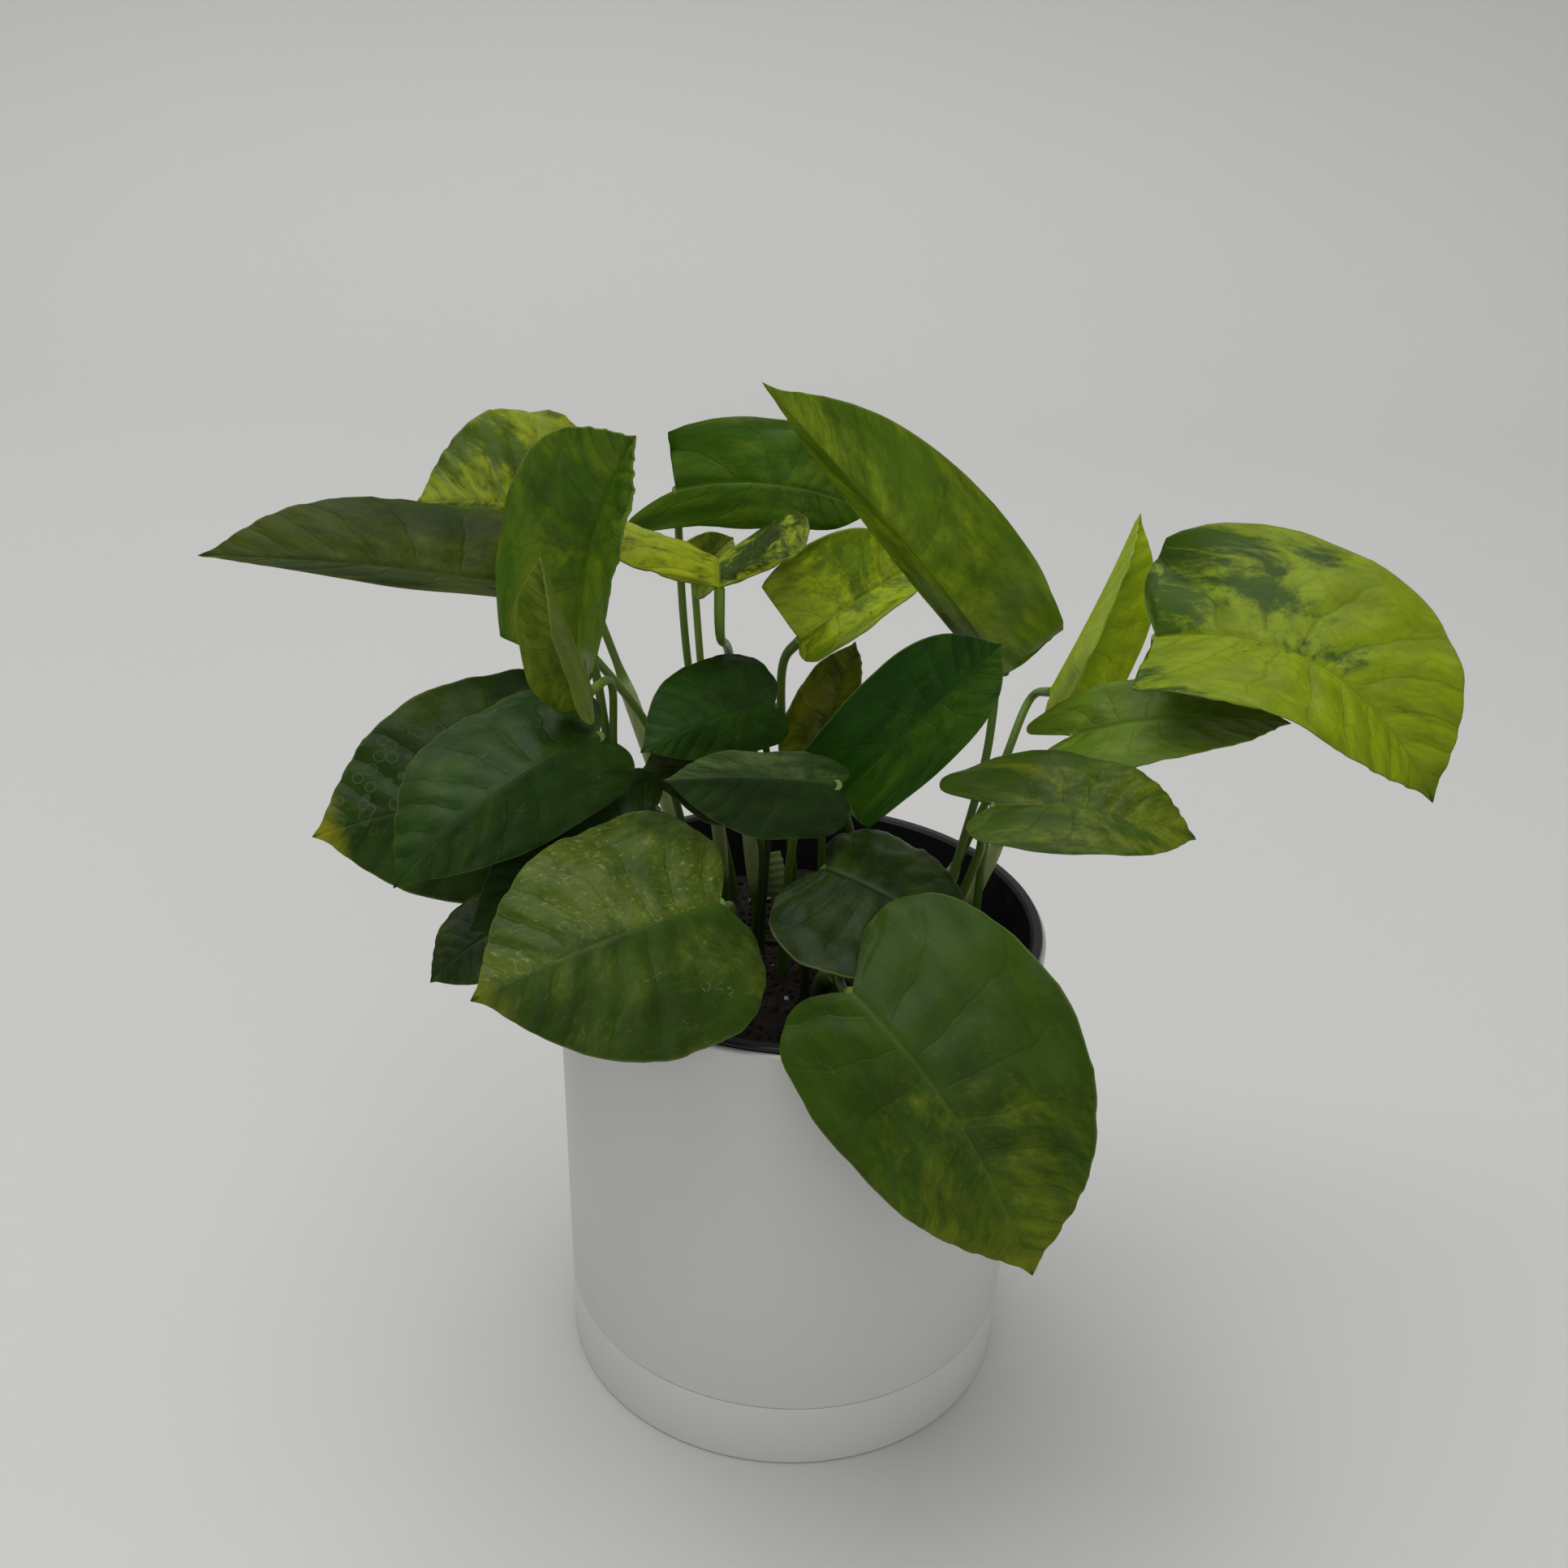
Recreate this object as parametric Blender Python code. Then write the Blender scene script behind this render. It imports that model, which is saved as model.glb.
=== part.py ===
"""Potted pothos: a trailing plant in a nursery pot, hung by its lip in a planter with a saucer.

Frame: origin at the centre of the saucer's underside, +Z up, +X right, -Y to the front.
Sizes are in metres. The tables of leaves and main stems are in millimetres and degrees.
"""
import math
from collections import namedtuple

import bmesh
import bpy
import numpy as np

MM = 0.001
GAP = 0.0003                    # clearance between touching pieces
ROUND_SIDES = 48                # facets round the pot pieces

ON_AXIS = 1e-9                  # radii below this are a single point on the axis
SHARP_ANGLE = 40                # degrees; edges over this stay crisp
TUBE_SHARP_ANGLE = 60
CURVE_STEPS = 16                # samples between two points of a smooth path

# Outer form, shared by planter and saucer
TOTAL_HEIGHT = 0.170            # table to planter rim
RIM_RADIUS = 0.0825             # outside, at the rim
BASE_RADIUS = 0.0786            # outside, at the table

# Saucer
SAUCER_HEIGHT = 0.0256          # table to the seam under the planter
SAUCER_WALL = 0.0024
SAUCER_FLOOR = 0.003
SAUCER_LEDGE_HEIGHT = 0.009     # top of the step that carries the planter
SAUCER_LEDGE_WIDTH = 0.009
FOOT_ROUND = 0.0012

# Planter
PLANTER_WALL = 0.0025
PLANTER_FLOOR = 0.003
SKIRT_CLEARANCE = 0.0006        # planter's lower skirt inside the saucer's wall
RIM_ROUND = 0.0009
DRAIN_RADIUS = 0.005
DRAIN_CIRCLE = 0.035            # radius of the circle that the drain holes lie on
DRAIN_COUNT = 4
DRAIN_SIDES = 12

# Nursery pot
NURSERY_HEIGHT = 0.142
NURSERY_BASE_RADIUS = 0.058
NURSERY_WALL = 0.0012
NURSERY_SIDE_CLEARANCE = 0.0016  # under its lip, inside the planter's wall
LIP_THICKNESS = 0.0018
LIP_OVERHANG = 0.0013           # how far the lip stays inside the planter's outer edge
LIP_INNER_STEP = 0.0010         # lip's inner edge proud of the wall's inside
NURSERY_DRAIN_RADIUS = 0.004
NURSERY_DRAIN_CIRCLE = 0.040

# Soil
SOIL_DEPTH_BELOW_RIM = 0.024
SOIL_RING_STEP = 0.0125          # width of one ring of facets on the top
SOIL_BUMP = 0.0012
SOIL_WAVE = (90.0, 80.0)        # radians per metre along X and Y
SOIL_PHASE = 1.0
SEAT_CLEARANCE = 0.0005         # stems over the soil, whose facets are coarse
SEAT_SAMPLES = 12               # places round a stem's foot where the soil is felt

# Blades
LEAF_THICKNESS = 0.0007
LEAF_ROWS = 10                  # rows from the base to the tip of a blade
LOBE_ROWS = 4                   # rows that fan round each lobe behind the leaf stalk
BLADE_COLUMNS = 3               # cells from midrib to margin
OUTLINE_SAMPLES = 97
WIDEST = 0.94                   # share of the half-width where the lobe rows end
MIDRIB_REACH = 0.97             # share of the midrib that the rows spread over
ROW_CROWDING = 1.15             # above 1 sets the rows closer near the stalk
ROW_BOW = 1.3                   # how far each row bends forwards on its way to the margin
CROSS_STEPS = 8                 # stretches that a half's bend is added up over
RIPPLE_RATE = 9.0               # radians of the margin's waves over a blade's length
RIPPLE_PHASE = (0.4, 2.0)       # left and right half

# Leaf stalks, with lengths in millimetres
STALK_SIDES = 6
STALK_RINGS = 9
STALK_BACK = 0.45               # last stretch: share along the midrib's line
STALK_BELOW = 0.8               # and share below the blade
STALK_ASIDE = 0.7               # and share away from a half that hangs
STALK_CAP = 0.8                 # share of the tilted end's rise that lies under the midrib
STALK_APPROACH = 14.0           # length of the last stretch
STALK_RISE = 8.0                # upright stretch out of the soil
TUBE_REFERENCE = (0.3, 1.0, 0.1)  # direction that sets where a tube's first facet starts

# Main stems
VINE_RADIUS = 0.0032
VINE_SIDES = 8
VINE_RINGS = 6
VINE_RISE = 3.0                 # upright stretch, in millimetres

# Planter that the tables of leaves and main stems are drawn for. In a taller one the plant
# stands higher, and in a wider one its feet stand farther apart.
DRAWN_HEIGHT = 0.170
DRAWN_RIM_RADIUS = 0.0825
LIFT = (TOTAL_HEIGHT - DRAWN_HEIGHT) / MM
SPREAD = RIM_RADIUS / DRAWN_RIM_RADIUS

WHITE = (0.80, 0.80, 0.79)
BLACK = (0.012, 0.012, 0.013)
PEAT = (0.030, 0.022, 0.016)
GREENS = {
    "dark": (0.030, 0.085, 0.018),
    "mid": (0.065, 0.160, 0.025),
    "lime": (0.200, 0.320, 0.040),
}
STALK_GREEN = (0.130, 0.230, 0.045)
VINE_GREEN = (0.100, 0.150, 0.040)
WHITE_ROUGHNESS = 0.45
BLACK_ROUGHNESS = 0.5
PEAT_ROUGHNESS = 0.95
LEAF_ROUGHNESS = 0.4
STALK_ROUGHNESS = 0.45
VINE_ROUGHNESS = 0.5

# One leaf. Points are in millimetres and angles in degrees; pairs are (left, right), seen
# from the upper side with the tip ahead.
#   base     end of the stalk, where the midrib starts; tip is where it ends
#   face     rough direction that the upper side looks towards
#   half     width of each half, flat; lobe scales how far each runs back behind the stalk
#   arch     how far the midrib bows out on the upper side; sweep is its bow to the right
#   fold     rise of each half at the midrib; curl is what that angle gains by the margin
#   swell    below 1 moves the widest place towards the tip
#   foot     where the stalk leaves the soil; via are the points that it passes on its way
#   radius   of the stalk
Leaf = namedtuple("Leaf", "name tint base tip face half foot via arch sweep fold curl lobe swell "
                          "radius")


def raised(point):
    """A drawn point, moved up with the planter's rim."""
    return (point[0], point[1], point[2] + LIFT)


def leaf(name, tint, base, tip, face, half, foot, via, arch=0, sweep=0, fold=(10, 10),
         curl=(0, 0), lobe=(1, 1), swell=1.0, radius=1.4):
    return Leaf(name, tint, raised(base), raised(tip), face, half,
                (foot[0] * SPREAD, foot[1] * SPREAD), [raised(point) for point in via],
                arch, sweep, fold, curl, lobe, swell, radius)


LEAVES = [
    # upper left
    leaf("01", "mid", (-85, 24, 274), (-190, -10, 293), (0, -3, 10), (7, 30),
         (-36, 22), [(-54, 24, 225)], arch=3, fold=(-14, 38), curl=(-10, -40), lobe=(1.2, 1)),
    leaf("02", "lime", (-84, 66, 285), (-136, 48, 294), (-2, -7, 8), (26, 40),
         (-40, 42), [(-62, 56, 215)], arch=6, fold=(-10, 15), curl=(-150, -20)),
    leaf("03", "mid", (-74, -12, 269), (-54, -22, 340), (-3, -10, 2), (31, 24),
         (-40, 12), [(-64, 0, 226)], arch=-4, sweep=-6, fold=(10, 42), curl=(-20, 10),
         lobe=(0.2, 1), swell=0.62),
    leaf("04", "lime", (-66, -38, 266), (-77, -56, 314), (-3, -9, 2), (16, 12),
         (-48, 2), [(-62, -8, 226)], fold=(10, 70), curl=(20, 20), radius=1.2),
    # lower left
    leaf("05", "dark", (-74, 0, 218), (-156, -30, 208), (-2, -8, 6), (37, 42),
         (-50, 16), [(-64, 14, 196)], arch=8, fold=(-8, 5), curl=(-20, -20)),
    leaf("06", "mid", (-63, -40, 253), (-117, -82, 221), (-4, -7, 8), (22, 36),
         (-54, -8), [(-56, -12, 216)], arch=8, fold=(-48, 5), curl=(-10, -25)),
    leaf("07", "dark", (-46, -38, 228), (-99, -68, 199), (-3, -9, 5), (26, 20),
         (-38, -14), [(-40, -22, 200)], arch=8, fold=(-8, 0), curl=(-15, -25)),
    leaf("08", "dark", (-86, -40, 190), (-114, -58, 174), (-3, -7, 7), (16, 16),
         (-56, -20), [(-74, -30, 196)], arch=4, fold=(0, 0), curl=(-10, -10), radius=1.1),
    # front
    leaf("09", "mid", (-24, -68, 214), (-91, -106, 200), (-1, -8, 7), (40, 40),
         (-24, -28), [(-22, -46, 200)], arch=8, fold=(-5, 0), curl=(-25, -30)),
    leaf("10", "dark", (7, -44, 214), (54, -62, 194), (1, -4, 9), (33, 36),
         (2, -24), [(2, -34, 205)], arch=5, fold=(-5, 6), curl=(-30, -8)),
    leaf("11", "mid", (16, -88, 198), (71, -128, 132), (1, -8, 6), (49, 33),
         (16, -36), [(10, -60, 192)], arch=10, sweep=-4, fold=(0, -5), curl=(-15, -22),
         lobe=(1.0, 0.8), swell=0.88),
    # centre, low
    leaf("12", "mid", (9, -34, 238), (-42, -58, 248), (0, -3, 10), (19, 14),
         (-6, -2), [(-2, -12, 215)], arch=2, fold=(-62, -2), curl=(0, 0)),
    leaf("13", "dark", (-12, -4, 250), (-51, -38, 247), (-3, -7, 7), (14, 22),
         (-14, 13), [(-13, 5, 220)], arch=4, fold=(-40, 18), curl=(-10, -20), radius=1.1),
    leaf("14", "dark", (11, -11, 223), (58, -5, 275), (-2, -10, 5), (21, 16),
         (16, 6), [(15, 4, 200)], arch=2, fold=(5, 5), curl=(10, -10), lobe=(0.2, 0.2),
         swell=0.5),
    leaf("15", "lime", (1, 8, 227), (13, 24, 262), (-3, -10, 3), (15, 16),
         (6, 18), [(4, 16, 205)], arch=-3, fold=(5, 25), curl=(60, 60), radius=1.2),
    # upper centre
    leaf("16", "mid", (64, 34, 249), (-18, -34, 360), (-2, -10, 6), (10, 28),
         (46, 14), [(60, 30, 220)], arch=15, sweep=1, fold=(-58, 8), curl=(0, -15),
         lobe=(0.3, 0.15), swell=0.7),
    leaf("17", "mid", (-49, 52, 302), (17, 46, 299), (0, -5, 9), (22, 15),
         (-26, 44), [(-44, 50, 240)], arch=8, fold=(45, -35), curl=(-20, -30),
         lobe=(0, 2.5), swell=0.52, radius=1.3),
    leaf("18", "lime", (-30, -8, 290), (-33, 28, 279), (0, -3, 10), (38, 32),
         (-16, 24), [(-28, 26, 252)], arch=8, fold=(30, 35), curl=(-20, -10), lobe=(0.3, 0.3)),
    leaf("19", "lime", (-42, 40, 276), (-29, 44, 289), (2, -10, 6), (11, 11),
         (-28, 34), [(-38, 36, 240)], arch=2, fold=(20, 30), curl=(20, 20), radius=1.2),
    leaf("20", "lime", (-5, 10, 267), (35, 40, 286), (-2, -10, 5), (24, 16),
         (-2, 28), [(-10, 20, 232)], arch=4, fold=(2, 38), curl=(20, 10), lobe=(0, 0.5),
         swell=0.75),
    # right
    leaf("21", "lime", (82, 44, 239), (107, 60, 299), (2, -10, 0), (20, 21),
         (48, 34), [(66, 36, 212)], arch=2, fold=(80, 10), curl=(0, 10)),
    leaf("22", "lime", (107, 5, 276), (185, -45, 247), (1, -6, 9), (42, 30),
         (56, 24), [(72, 28, 200)], arch=17, sweep=-9, fold=(16, 14), curl=(-10, -12),
         lobe=(0.4, 0), swell=0.78),
    leaf("23", "mid", (84, -2, 244), (149, -12, 256), (0, -5, 9), (17, 21),
         (60, 14), [(66, 10, 222)], arch=6, fold=(10, 20), curl=(-20, -10), lobe=(2, 1.5)),
    leaf("24", "mid", (57, -41, 237), (117, -47, 232), (0, -5, 9), (24, 17),
         (46, 2), [(56, -14, 205)], arch=6, fold=(0, 12), curl=(-20, -20), lobe=(2.5, 1),
         swell=0.75),
    leaf("25", "dark", (-17, -6, 222), (-53, -20, 232), (0, -3, 10), (18, 22),
         (-16, 4), [(-15, -2, 200)], arch=4, fold=(-20, 15), curl=(-20, -20), radius=1.1),
]

# Main stems: foot on the soil, then points on the centre line, in millimetres
VINES = [
    ("vine_left", (-44, 28), [(-48, 26, 158), (-55, 22, 167)]),
    ("vine_front", (8, -14), [(9, -19, 158), (12, -27, 165)]),
    ("vine_centre", (-8, 34), [(-9, 36, 160), (-12, 42, 172)]),
    ("vine_right", (36, 24), [(39, 27, 158), (44, 33, 168)]),
]


# ---------------------------------------------------------------- leaf surface

# Half outline of a flat blade from the notch at the stalk, round the lobe, to the tip:
# across in half-widths, along in blade lengths.
HALF_OUTLINE = [
    (0.00, 0.000), (0.16, -0.060), (0.38, -0.115), (0.64, -0.105), (0.87, -0.020),
    (0.99, 0.110), (1.00, 0.260), (0.96, 0.420), (0.86, 0.570), (0.70, 0.710),
    (0.47, 0.825), (0.23, 0.910), (0.07, 0.960), (0.00, 1.000),
]


def unit(vector):
    vector = np.asarray(vector, dtype=float)
    return vector / np.linalg.norm(vector)


def smooth_path(points, count):
    """Points at even steps along a centripetal Catmull-Rom curve through the given points."""
    points = [np.asarray(point, dtype=float) for point in points]
    ends = [2 * points[0] - points[1]] + points + [2 * points[-1] - points[-2]]
    knots = np.sqrt(np.linalg.norm(np.diff(ends, axis=0), axis=1))
    fine = []
    for index in range(1, len(ends) - 2):
        before, start, end, after = ends[index - 1:index + 3]
        first, middle, last = knots[index - 1:index + 2]
        step = end - start
        leave = step + middle * ((start - before) / first - (end - before) / (first + middle))
        reach = step + middle * ((after - end) / last - (after - start) / (middle + last))
        for t in np.arange(CURVE_STEPS) / CURVE_STEPS:
            fine.append(start + leave * t + (3 * step - 2 * leave - reach) * t * t
                        + (leave + reach - 2 * step) * t ** 3)
    fine.append(points[-1])
    fine = np.array(fine)
    run = np.concatenate([[0], np.cumsum(np.linalg.norm(np.diff(fine, axis=0), axis=1))])
    steps = np.linspace(0, run[-1], count)
    return np.stack([np.interp(steps, run, fine[:, axis]) for axis in range(fine.shape[1])], 1)


def midrib_frame(leaf_row, along):
    """Point, tangent, right-hand side and normal of the midrib at a share of its length."""
    base = np.array(leaf_row.base, dtype=float)
    tip = np.array(leaf_row.tip, dtype=float)
    chord = unit(tip - base)
    normal = unit(np.array(leaf_row.face, dtype=float)
                  - chord * np.dot(leaf_row.face, chord))
    right = np.cross(chord, normal)
    bow = normal * leaf_row.arch + right * leaf_row.sweep
    point = base + (tip - base) * along + bow * 4 * along * (1 - along)
    tangent = unit(tip - base + bow * 4 * (1 - 2 * along))
    normal = unit(normal - tangent * np.dot(normal, tangent))
    return point, tangent, np.cross(tangent, normal), normal


def blade_point(leaf_row, across, along):
    """Place of a flat blade's point: across in half-widths (right is +), along in lengths."""
    side = 1 if across >= 0 else 0
    along = along ** leaf_row.swell if along > 0 else along * leaf_row.lobe[side]
    point, tangent, right, normal = midrib_frame(leaf_row, along)
    start = math.radians(leaf_row.fold[side])
    gain = math.radians(leaf_row.curl[side])
    reach = abs(across)
    out = 0.0
    rise = 0.0
    for step in range(CROSS_STEPS):
        angle = start + gain * reach * (step + 0.5) / CROSS_STEPS
        out += math.cos(angle) * reach / CROSS_STEPS
        rise += math.sin(angle) * reach / CROSS_STEPS
    half_width = leaf_row.half[side]
    ripple = reach ** 2 * math.sin(along * RIPPLE_RATE + RIPPLE_PHASE[side])
    sign = 1 if side else -1
    return point + right * sign * out * half_width + normal * (rise * half_width + ripple)


def blade_grid(rows, lobe_rows, columns):
    """Flat points of one half blade, row by row from the notch round the lobe to the tip."""
    outline = smooth_path(HALF_OUTLINE, OUTLINE_SAMPLES)
    turn = next(index for index, point in enumerate(outline) if point[0] > WIDEST)
    grid = []
    for row in range(1, lobe_rows + 1):
        end = outline[int(round(turn * row / (lobe_rows + 1)))]
        grid.append([(end[0] * column / columns, end[1] * column / columns)
                     for column in range(columns + 1)])
    last = len(outline) - 1
    for row in range(rows):
        share = row / rows
        end = outline[int(round(turn + (last - turn) * share))]
        start = share ** ROW_CROWDING * MIDRIB_REACH
        line = []
        for column in range(columns + 1):
            part = column / columns
            line.append((end[0] * part, start + (end[1] - start) * part ** ROW_BOW))
        grid.append(line)
    return grid


def blade_mesh(leaf_row, rows, lobe_rows, columns):
    """Vertices and faces of the blade's middle surface, with its face towards the upper side."""
    grid = blade_grid(rows, lobe_rows, columns)
    vertices = []
    names = {}

    def vertex(across, along):
        key = (round(across, 5), round(along, 5))
        if key not in names:
            names[key] = len(vertices)
            vertices.append(blade_point(leaf_row, across, along))
        return names[key]

    faces = []
    for sign in (1, -1):
        lines = [[vertex(sign * across if across else 0.0, along) for across, along in line]
                 for line in grid]
        tip = vertex(0.0, 1.0)
        for lower, upper in zip(lines[:-1], lines[1:]):
            for column in range(columns):
                corners = [lower[column], lower[column + 1], upper[column + 1], upper[column]]
                corners = [corner for place, corner in enumerate(corners)
                           if corner != corners[place - 1]]
                if len(corners) > 2:
                    faces.append(corners if sign > 0 else corners[::-1])
        for column in range(columns):
            corners = [lines[-1][column], lines[-1][column + 1], tip]
            faces.append(corners if sign > 0 else corners[::-1])
    return np.array(vertices), faces


# ---------------------------------------------------------------- solids

def material(name, color, roughness):
    """A named Principled material; shared by every object that asks for the same name."""
    found = bpy.data.materials.get(name)
    if found:
        return found
    made = bpy.data.materials.new(name)
    made.use_nodes = True
    shader = made.node_tree.nodes["Principled BSDF"]
    shader.inputs["Base Color"].default_value = (*color, 1.0)
    shader.inputs["Roughness"].default_value = roughness
    return made


def new_object(name, vertices, faces, finish, sharp_deg=SHARP_ANGLE):
    mesh = bpy.data.meshes.new(name)
    mesh.from_pydata([tuple(float(value) for value in vertex) for vertex in vertices], [],
                     [tuple(face) for face in faces])
    mesh.validate()
    mesh.shade_smooth()
    mesh.set_sharp_from_angle(angle=math.radians(sharp_deg))
    mesh.materials.append(finish)
    made = bpy.data.objects.new(name, mesh)
    bpy.context.scene.collection.objects.link(made)
    return made


def turned(name, profile, finish, sides=ROUND_SIDES):
    """Solid of revolution about Z; the profile is a list of (radius, height) up the outside
    and back down the inside, starting and ending on the axis or closing on itself."""
    vertices = []
    rings = []
    for radius, height in profile:
        if radius < ON_AXIS:
            rings.append([len(vertices)] * sides)
            vertices.append((0.0, 0.0, height))
            continue
        rings.append(list(range(len(vertices), len(vertices) + sides)))
        for side in range(sides):
            angle = 2 * math.pi * side / sides
            vertices.append((radius * math.cos(angle), radius * math.sin(angle), height))
    faces = []
    for lower, upper in zip(rings, rings[1:]):
        for side in range(sides):
            after = (side + 1) % sides
            corners = [lower[side], lower[after], upper[after], upper[side]]
            faces.append([corner for place, corner in enumerate(corners)
                          if corner != corners[place - 1]])
    return new_object(name, vertices, faces, finish)


def arc(centre, radius, start_deg, end_deg, steps=3):
    """Points along a quarter round in a profile."""
    points = []
    for step in range(steps + 1):
        angle = math.radians(start_deg + (end_deg - start_deg) * step / steps)
        points.append((centre[0] + radius * math.cos(angle), centre[1] + radius * math.sin(angle)))
    return points


def drill(target, radius, circle, count, low, high):
    """Cuts a ring of round holes through the target between two heights."""
    for index in range(count):
        angle = 2 * math.pi * (index + 0.5) / count
        bpy.ops.mesh.primitive_cylinder_add(
            vertices=DRAIN_SIDES, radius=radius, depth=high - low,
            location=(circle * math.cos(angle), circle * math.sin(angle), (high + low) / 2))
        cutter = bpy.context.object
        cutter.name = f"cutter_{target.name}_{index}"
        cutter.hide_render = True
        cutter.display_type = "WIRE"
        cut = target.modifiers.new(f"drain_{index}", "BOOLEAN")
        cut.operation = "DIFFERENCE"
        cut.solver = "EXACT"
        cut.object = cutter


def outer_radius(height):
    """Outside radius of the planter and saucer at a height above the table."""
    return BASE_RADIUS + (RIM_RADIUS - BASE_RADIUS) * height / TOTAL_HEIGHT


def planter_inner_radius(height):
    return outer_radius(height) - PLANTER_WALL


PLANTER_UNDERSIDE = SAUCER_LEDGE_HEIGHT + GAP
LIP_UNDERSIDE = TOTAL_HEIGHT + GAP
LIP_TOP = LIP_UNDERSIDE + LIP_THICKNESS
NURSERY_UNDERSIDE = LIP_TOP - NURSERY_HEIGHT
NURSERY_TOP_RADIUS = planter_inner_radius(TOTAL_HEIGHT) - NURSERY_SIDE_CLEARANCE
SOIL_UNDERSIDE = NURSERY_UNDERSIDE + NURSERY_WALL + GAP
SOIL_TOP = LIP_TOP - SOIL_DEPTH_BELOW_RIM


def nursery_radius(height):
    """Outside radius of the nursery pot's wall."""
    share = (height - NURSERY_UNDERSIDE) / (LIP_UNDERSIDE - NURSERY_UNDERSIDE)
    return NURSERY_BASE_RADIUS + (NURSERY_TOP_RADIUS - NURSERY_BASE_RADIUS) * share


def soil_height(x, y):
    """Height of the soil's uneven top."""
    return SOIL_TOP + SOIL_BUMP * math.sin(x * SOIL_WAVE[0] + SOIL_PHASE) * math.cos(y * SOIL_WAVE[1])


def soil_seat(foot, radius):
    """Where a stem's flat end stands on the highest soil below its rim, in millimetres."""
    turns = np.linspace(0, 2 * math.pi, SEAT_SAMPLES, endpoint=False)
    height = max(soil_height((foot[0] + radius * math.cos(turn)) * MM,
                             (foot[1] + radius * math.sin(turn)) * MM) for turn in turns)
    return np.array((foot[0], foot[1], (height + SEAT_CLEARANCE) / MM))


def build_saucer():
    wall_top = SAUCER_HEIGHT
    inner = outer_radius(wall_top) - SAUCER_WALL
    ledge = inner - SAUCER_LEDGE_WIDTH
    foot = arc((BASE_RADIUS - FOOT_ROUND, FOOT_ROUND), FOOT_ROUND, -90, 0)
    profile = [(0.0, 0.0)] + foot
    profile += [(outer_radius(wall_top), wall_top), (inner, wall_top),
                (inner, SAUCER_LEDGE_HEIGHT), (ledge, SAUCER_LEDGE_HEIGHT),
                (ledge, SAUCER_FLOOR), (0.0, SAUCER_FLOOR)]
    turned("saucer", profile, material("white_plastic", WHITE, WHITE_ROUGHNESS))


def build_planter():
    skirt = outer_radius(SAUCER_HEIGHT) - SAUCER_WALL - SKIRT_CLEARANCE
    shoulder = SAUCER_HEIGHT + GAP
    floor_top = PLANTER_UNDERSIDE + PLANTER_FLOOR
    skirt_inner = skirt - PLANTER_WALL
    rim_centre = (outer_radius(TOTAL_HEIGHT) - RIM_ROUND, TOTAL_HEIGHT - RIM_ROUND)
    inner_centre = (planter_inner_radius(TOTAL_HEIGHT) + RIM_ROUND, TOTAL_HEIGHT - RIM_ROUND)
    profile = [(0.0, PLANTER_UNDERSIDE), (skirt, PLANTER_UNDERSIDE), (skirt, shoulder),
               (outer_radius(shoulder), shoulder)]
    profile += arc(rim_centre, RIM_ROUND, 0, 90)
    profile += arc(inner_centre, RIM_ROUND, 90, 180)
    profile += [(planter_inner_radius(shoulder + PLANTER_WALL), shoulder + PLANTER_WALL),
                (skirt_inner, shoulder), (skirt_inner, floor_top), (0.0, floor_top)]
    planter = turned("planter", profile, material("white_plastic", WHITE, WHITE_ROUGHNESS))
    drill(planter, DRAIN_RADIUS, DRAIN_CIRCLE, DRAIN_COUNT,
          PLANTER_UNDERSIDE - DRAIN_RADIUS, floor_top + DRAIN_RADIUS)


def build_nursery_pot():
    lip_outer = RIM_RADIUS - LIP_OVERHANG
    top_inner = NURSERY_TOP_RADIUS - NURSERY_WALL
    lip_inner = top_inner + LIP_INNER_STEP
    half = LIP_THICKNESS / 2
    floor_top = NURSERY_UNDERSIDE + NURSERY_WALL
    profile = [(0.0, NURSERY_UNDERSIDE), (NURSERY_BASE_RADIUS, NURSERY_UNDERSIDE),
               (NURSERY_TOP_RADIUS, LIP_UNDERSIDE)]
    profile += arc((lip_outer - half, LIP_UNDERSIDE + half), half, -90, 90, steps=4)
    profile += [(lip_inner, LIP_TOP), (top_inner, LIP_TOP - LIP_INNER_STEP),
                (NURSERY_BASE_RADIUS - NURSERY_WALL, floor_top), (0.0, floor_top)]
    pot = turned("nursery_pot", profile, material("black_plastic", BLACK, BLACK_ROUGHNESS))
    drill(pot, NURSERY_DRAIN_RADIUS, NURSERY_DRAIN_CIRCLE, DRAIN_COUNT,
          NURSERY_UNDERSIDE - NURSERY_DRAIN_RADIUS, floor_top + NURSERY_DRAIN_RADIUS)


def build_soil():
    """Root ball with an uneven top, clear of the nursery pot all round."""
    sides = ROUND_SIDES // 2
    room = NURSERY_WALL + GAP
    facet = math.cos(math.pi / sides)
    low = (nursery_radius(SOIL_UNDERSIDE) - room) * facet
    high = (nursery_radius(SOIL_TOP - 2 * SOIL_BUMP) - room) * facet
    edge = SOIL_TOP - 2 * SOIL_BUMP
    profile = [(0.0, SOIL_UNDERSIDE), (low, SOIL_UNDERSIDE), (high, edge)]
    rings = math.ceil(high / SOIL_RING_STEP)
    profile += [(high * (rings - ring) / rings, SOIL_TOP) for ring in range(1, rings + 1)]
    soil = turned("soil", profile, material("potting_soil", PEAT, PEAT_ROUGHNESS), sides)
    for vertex in soil.data.vertices:
        if vertex.co.z > SOIL_TOP - SOIL_BUMP:
            vertex.co.z = soil_height(vertex.co.x, vertex.co.y)


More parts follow.
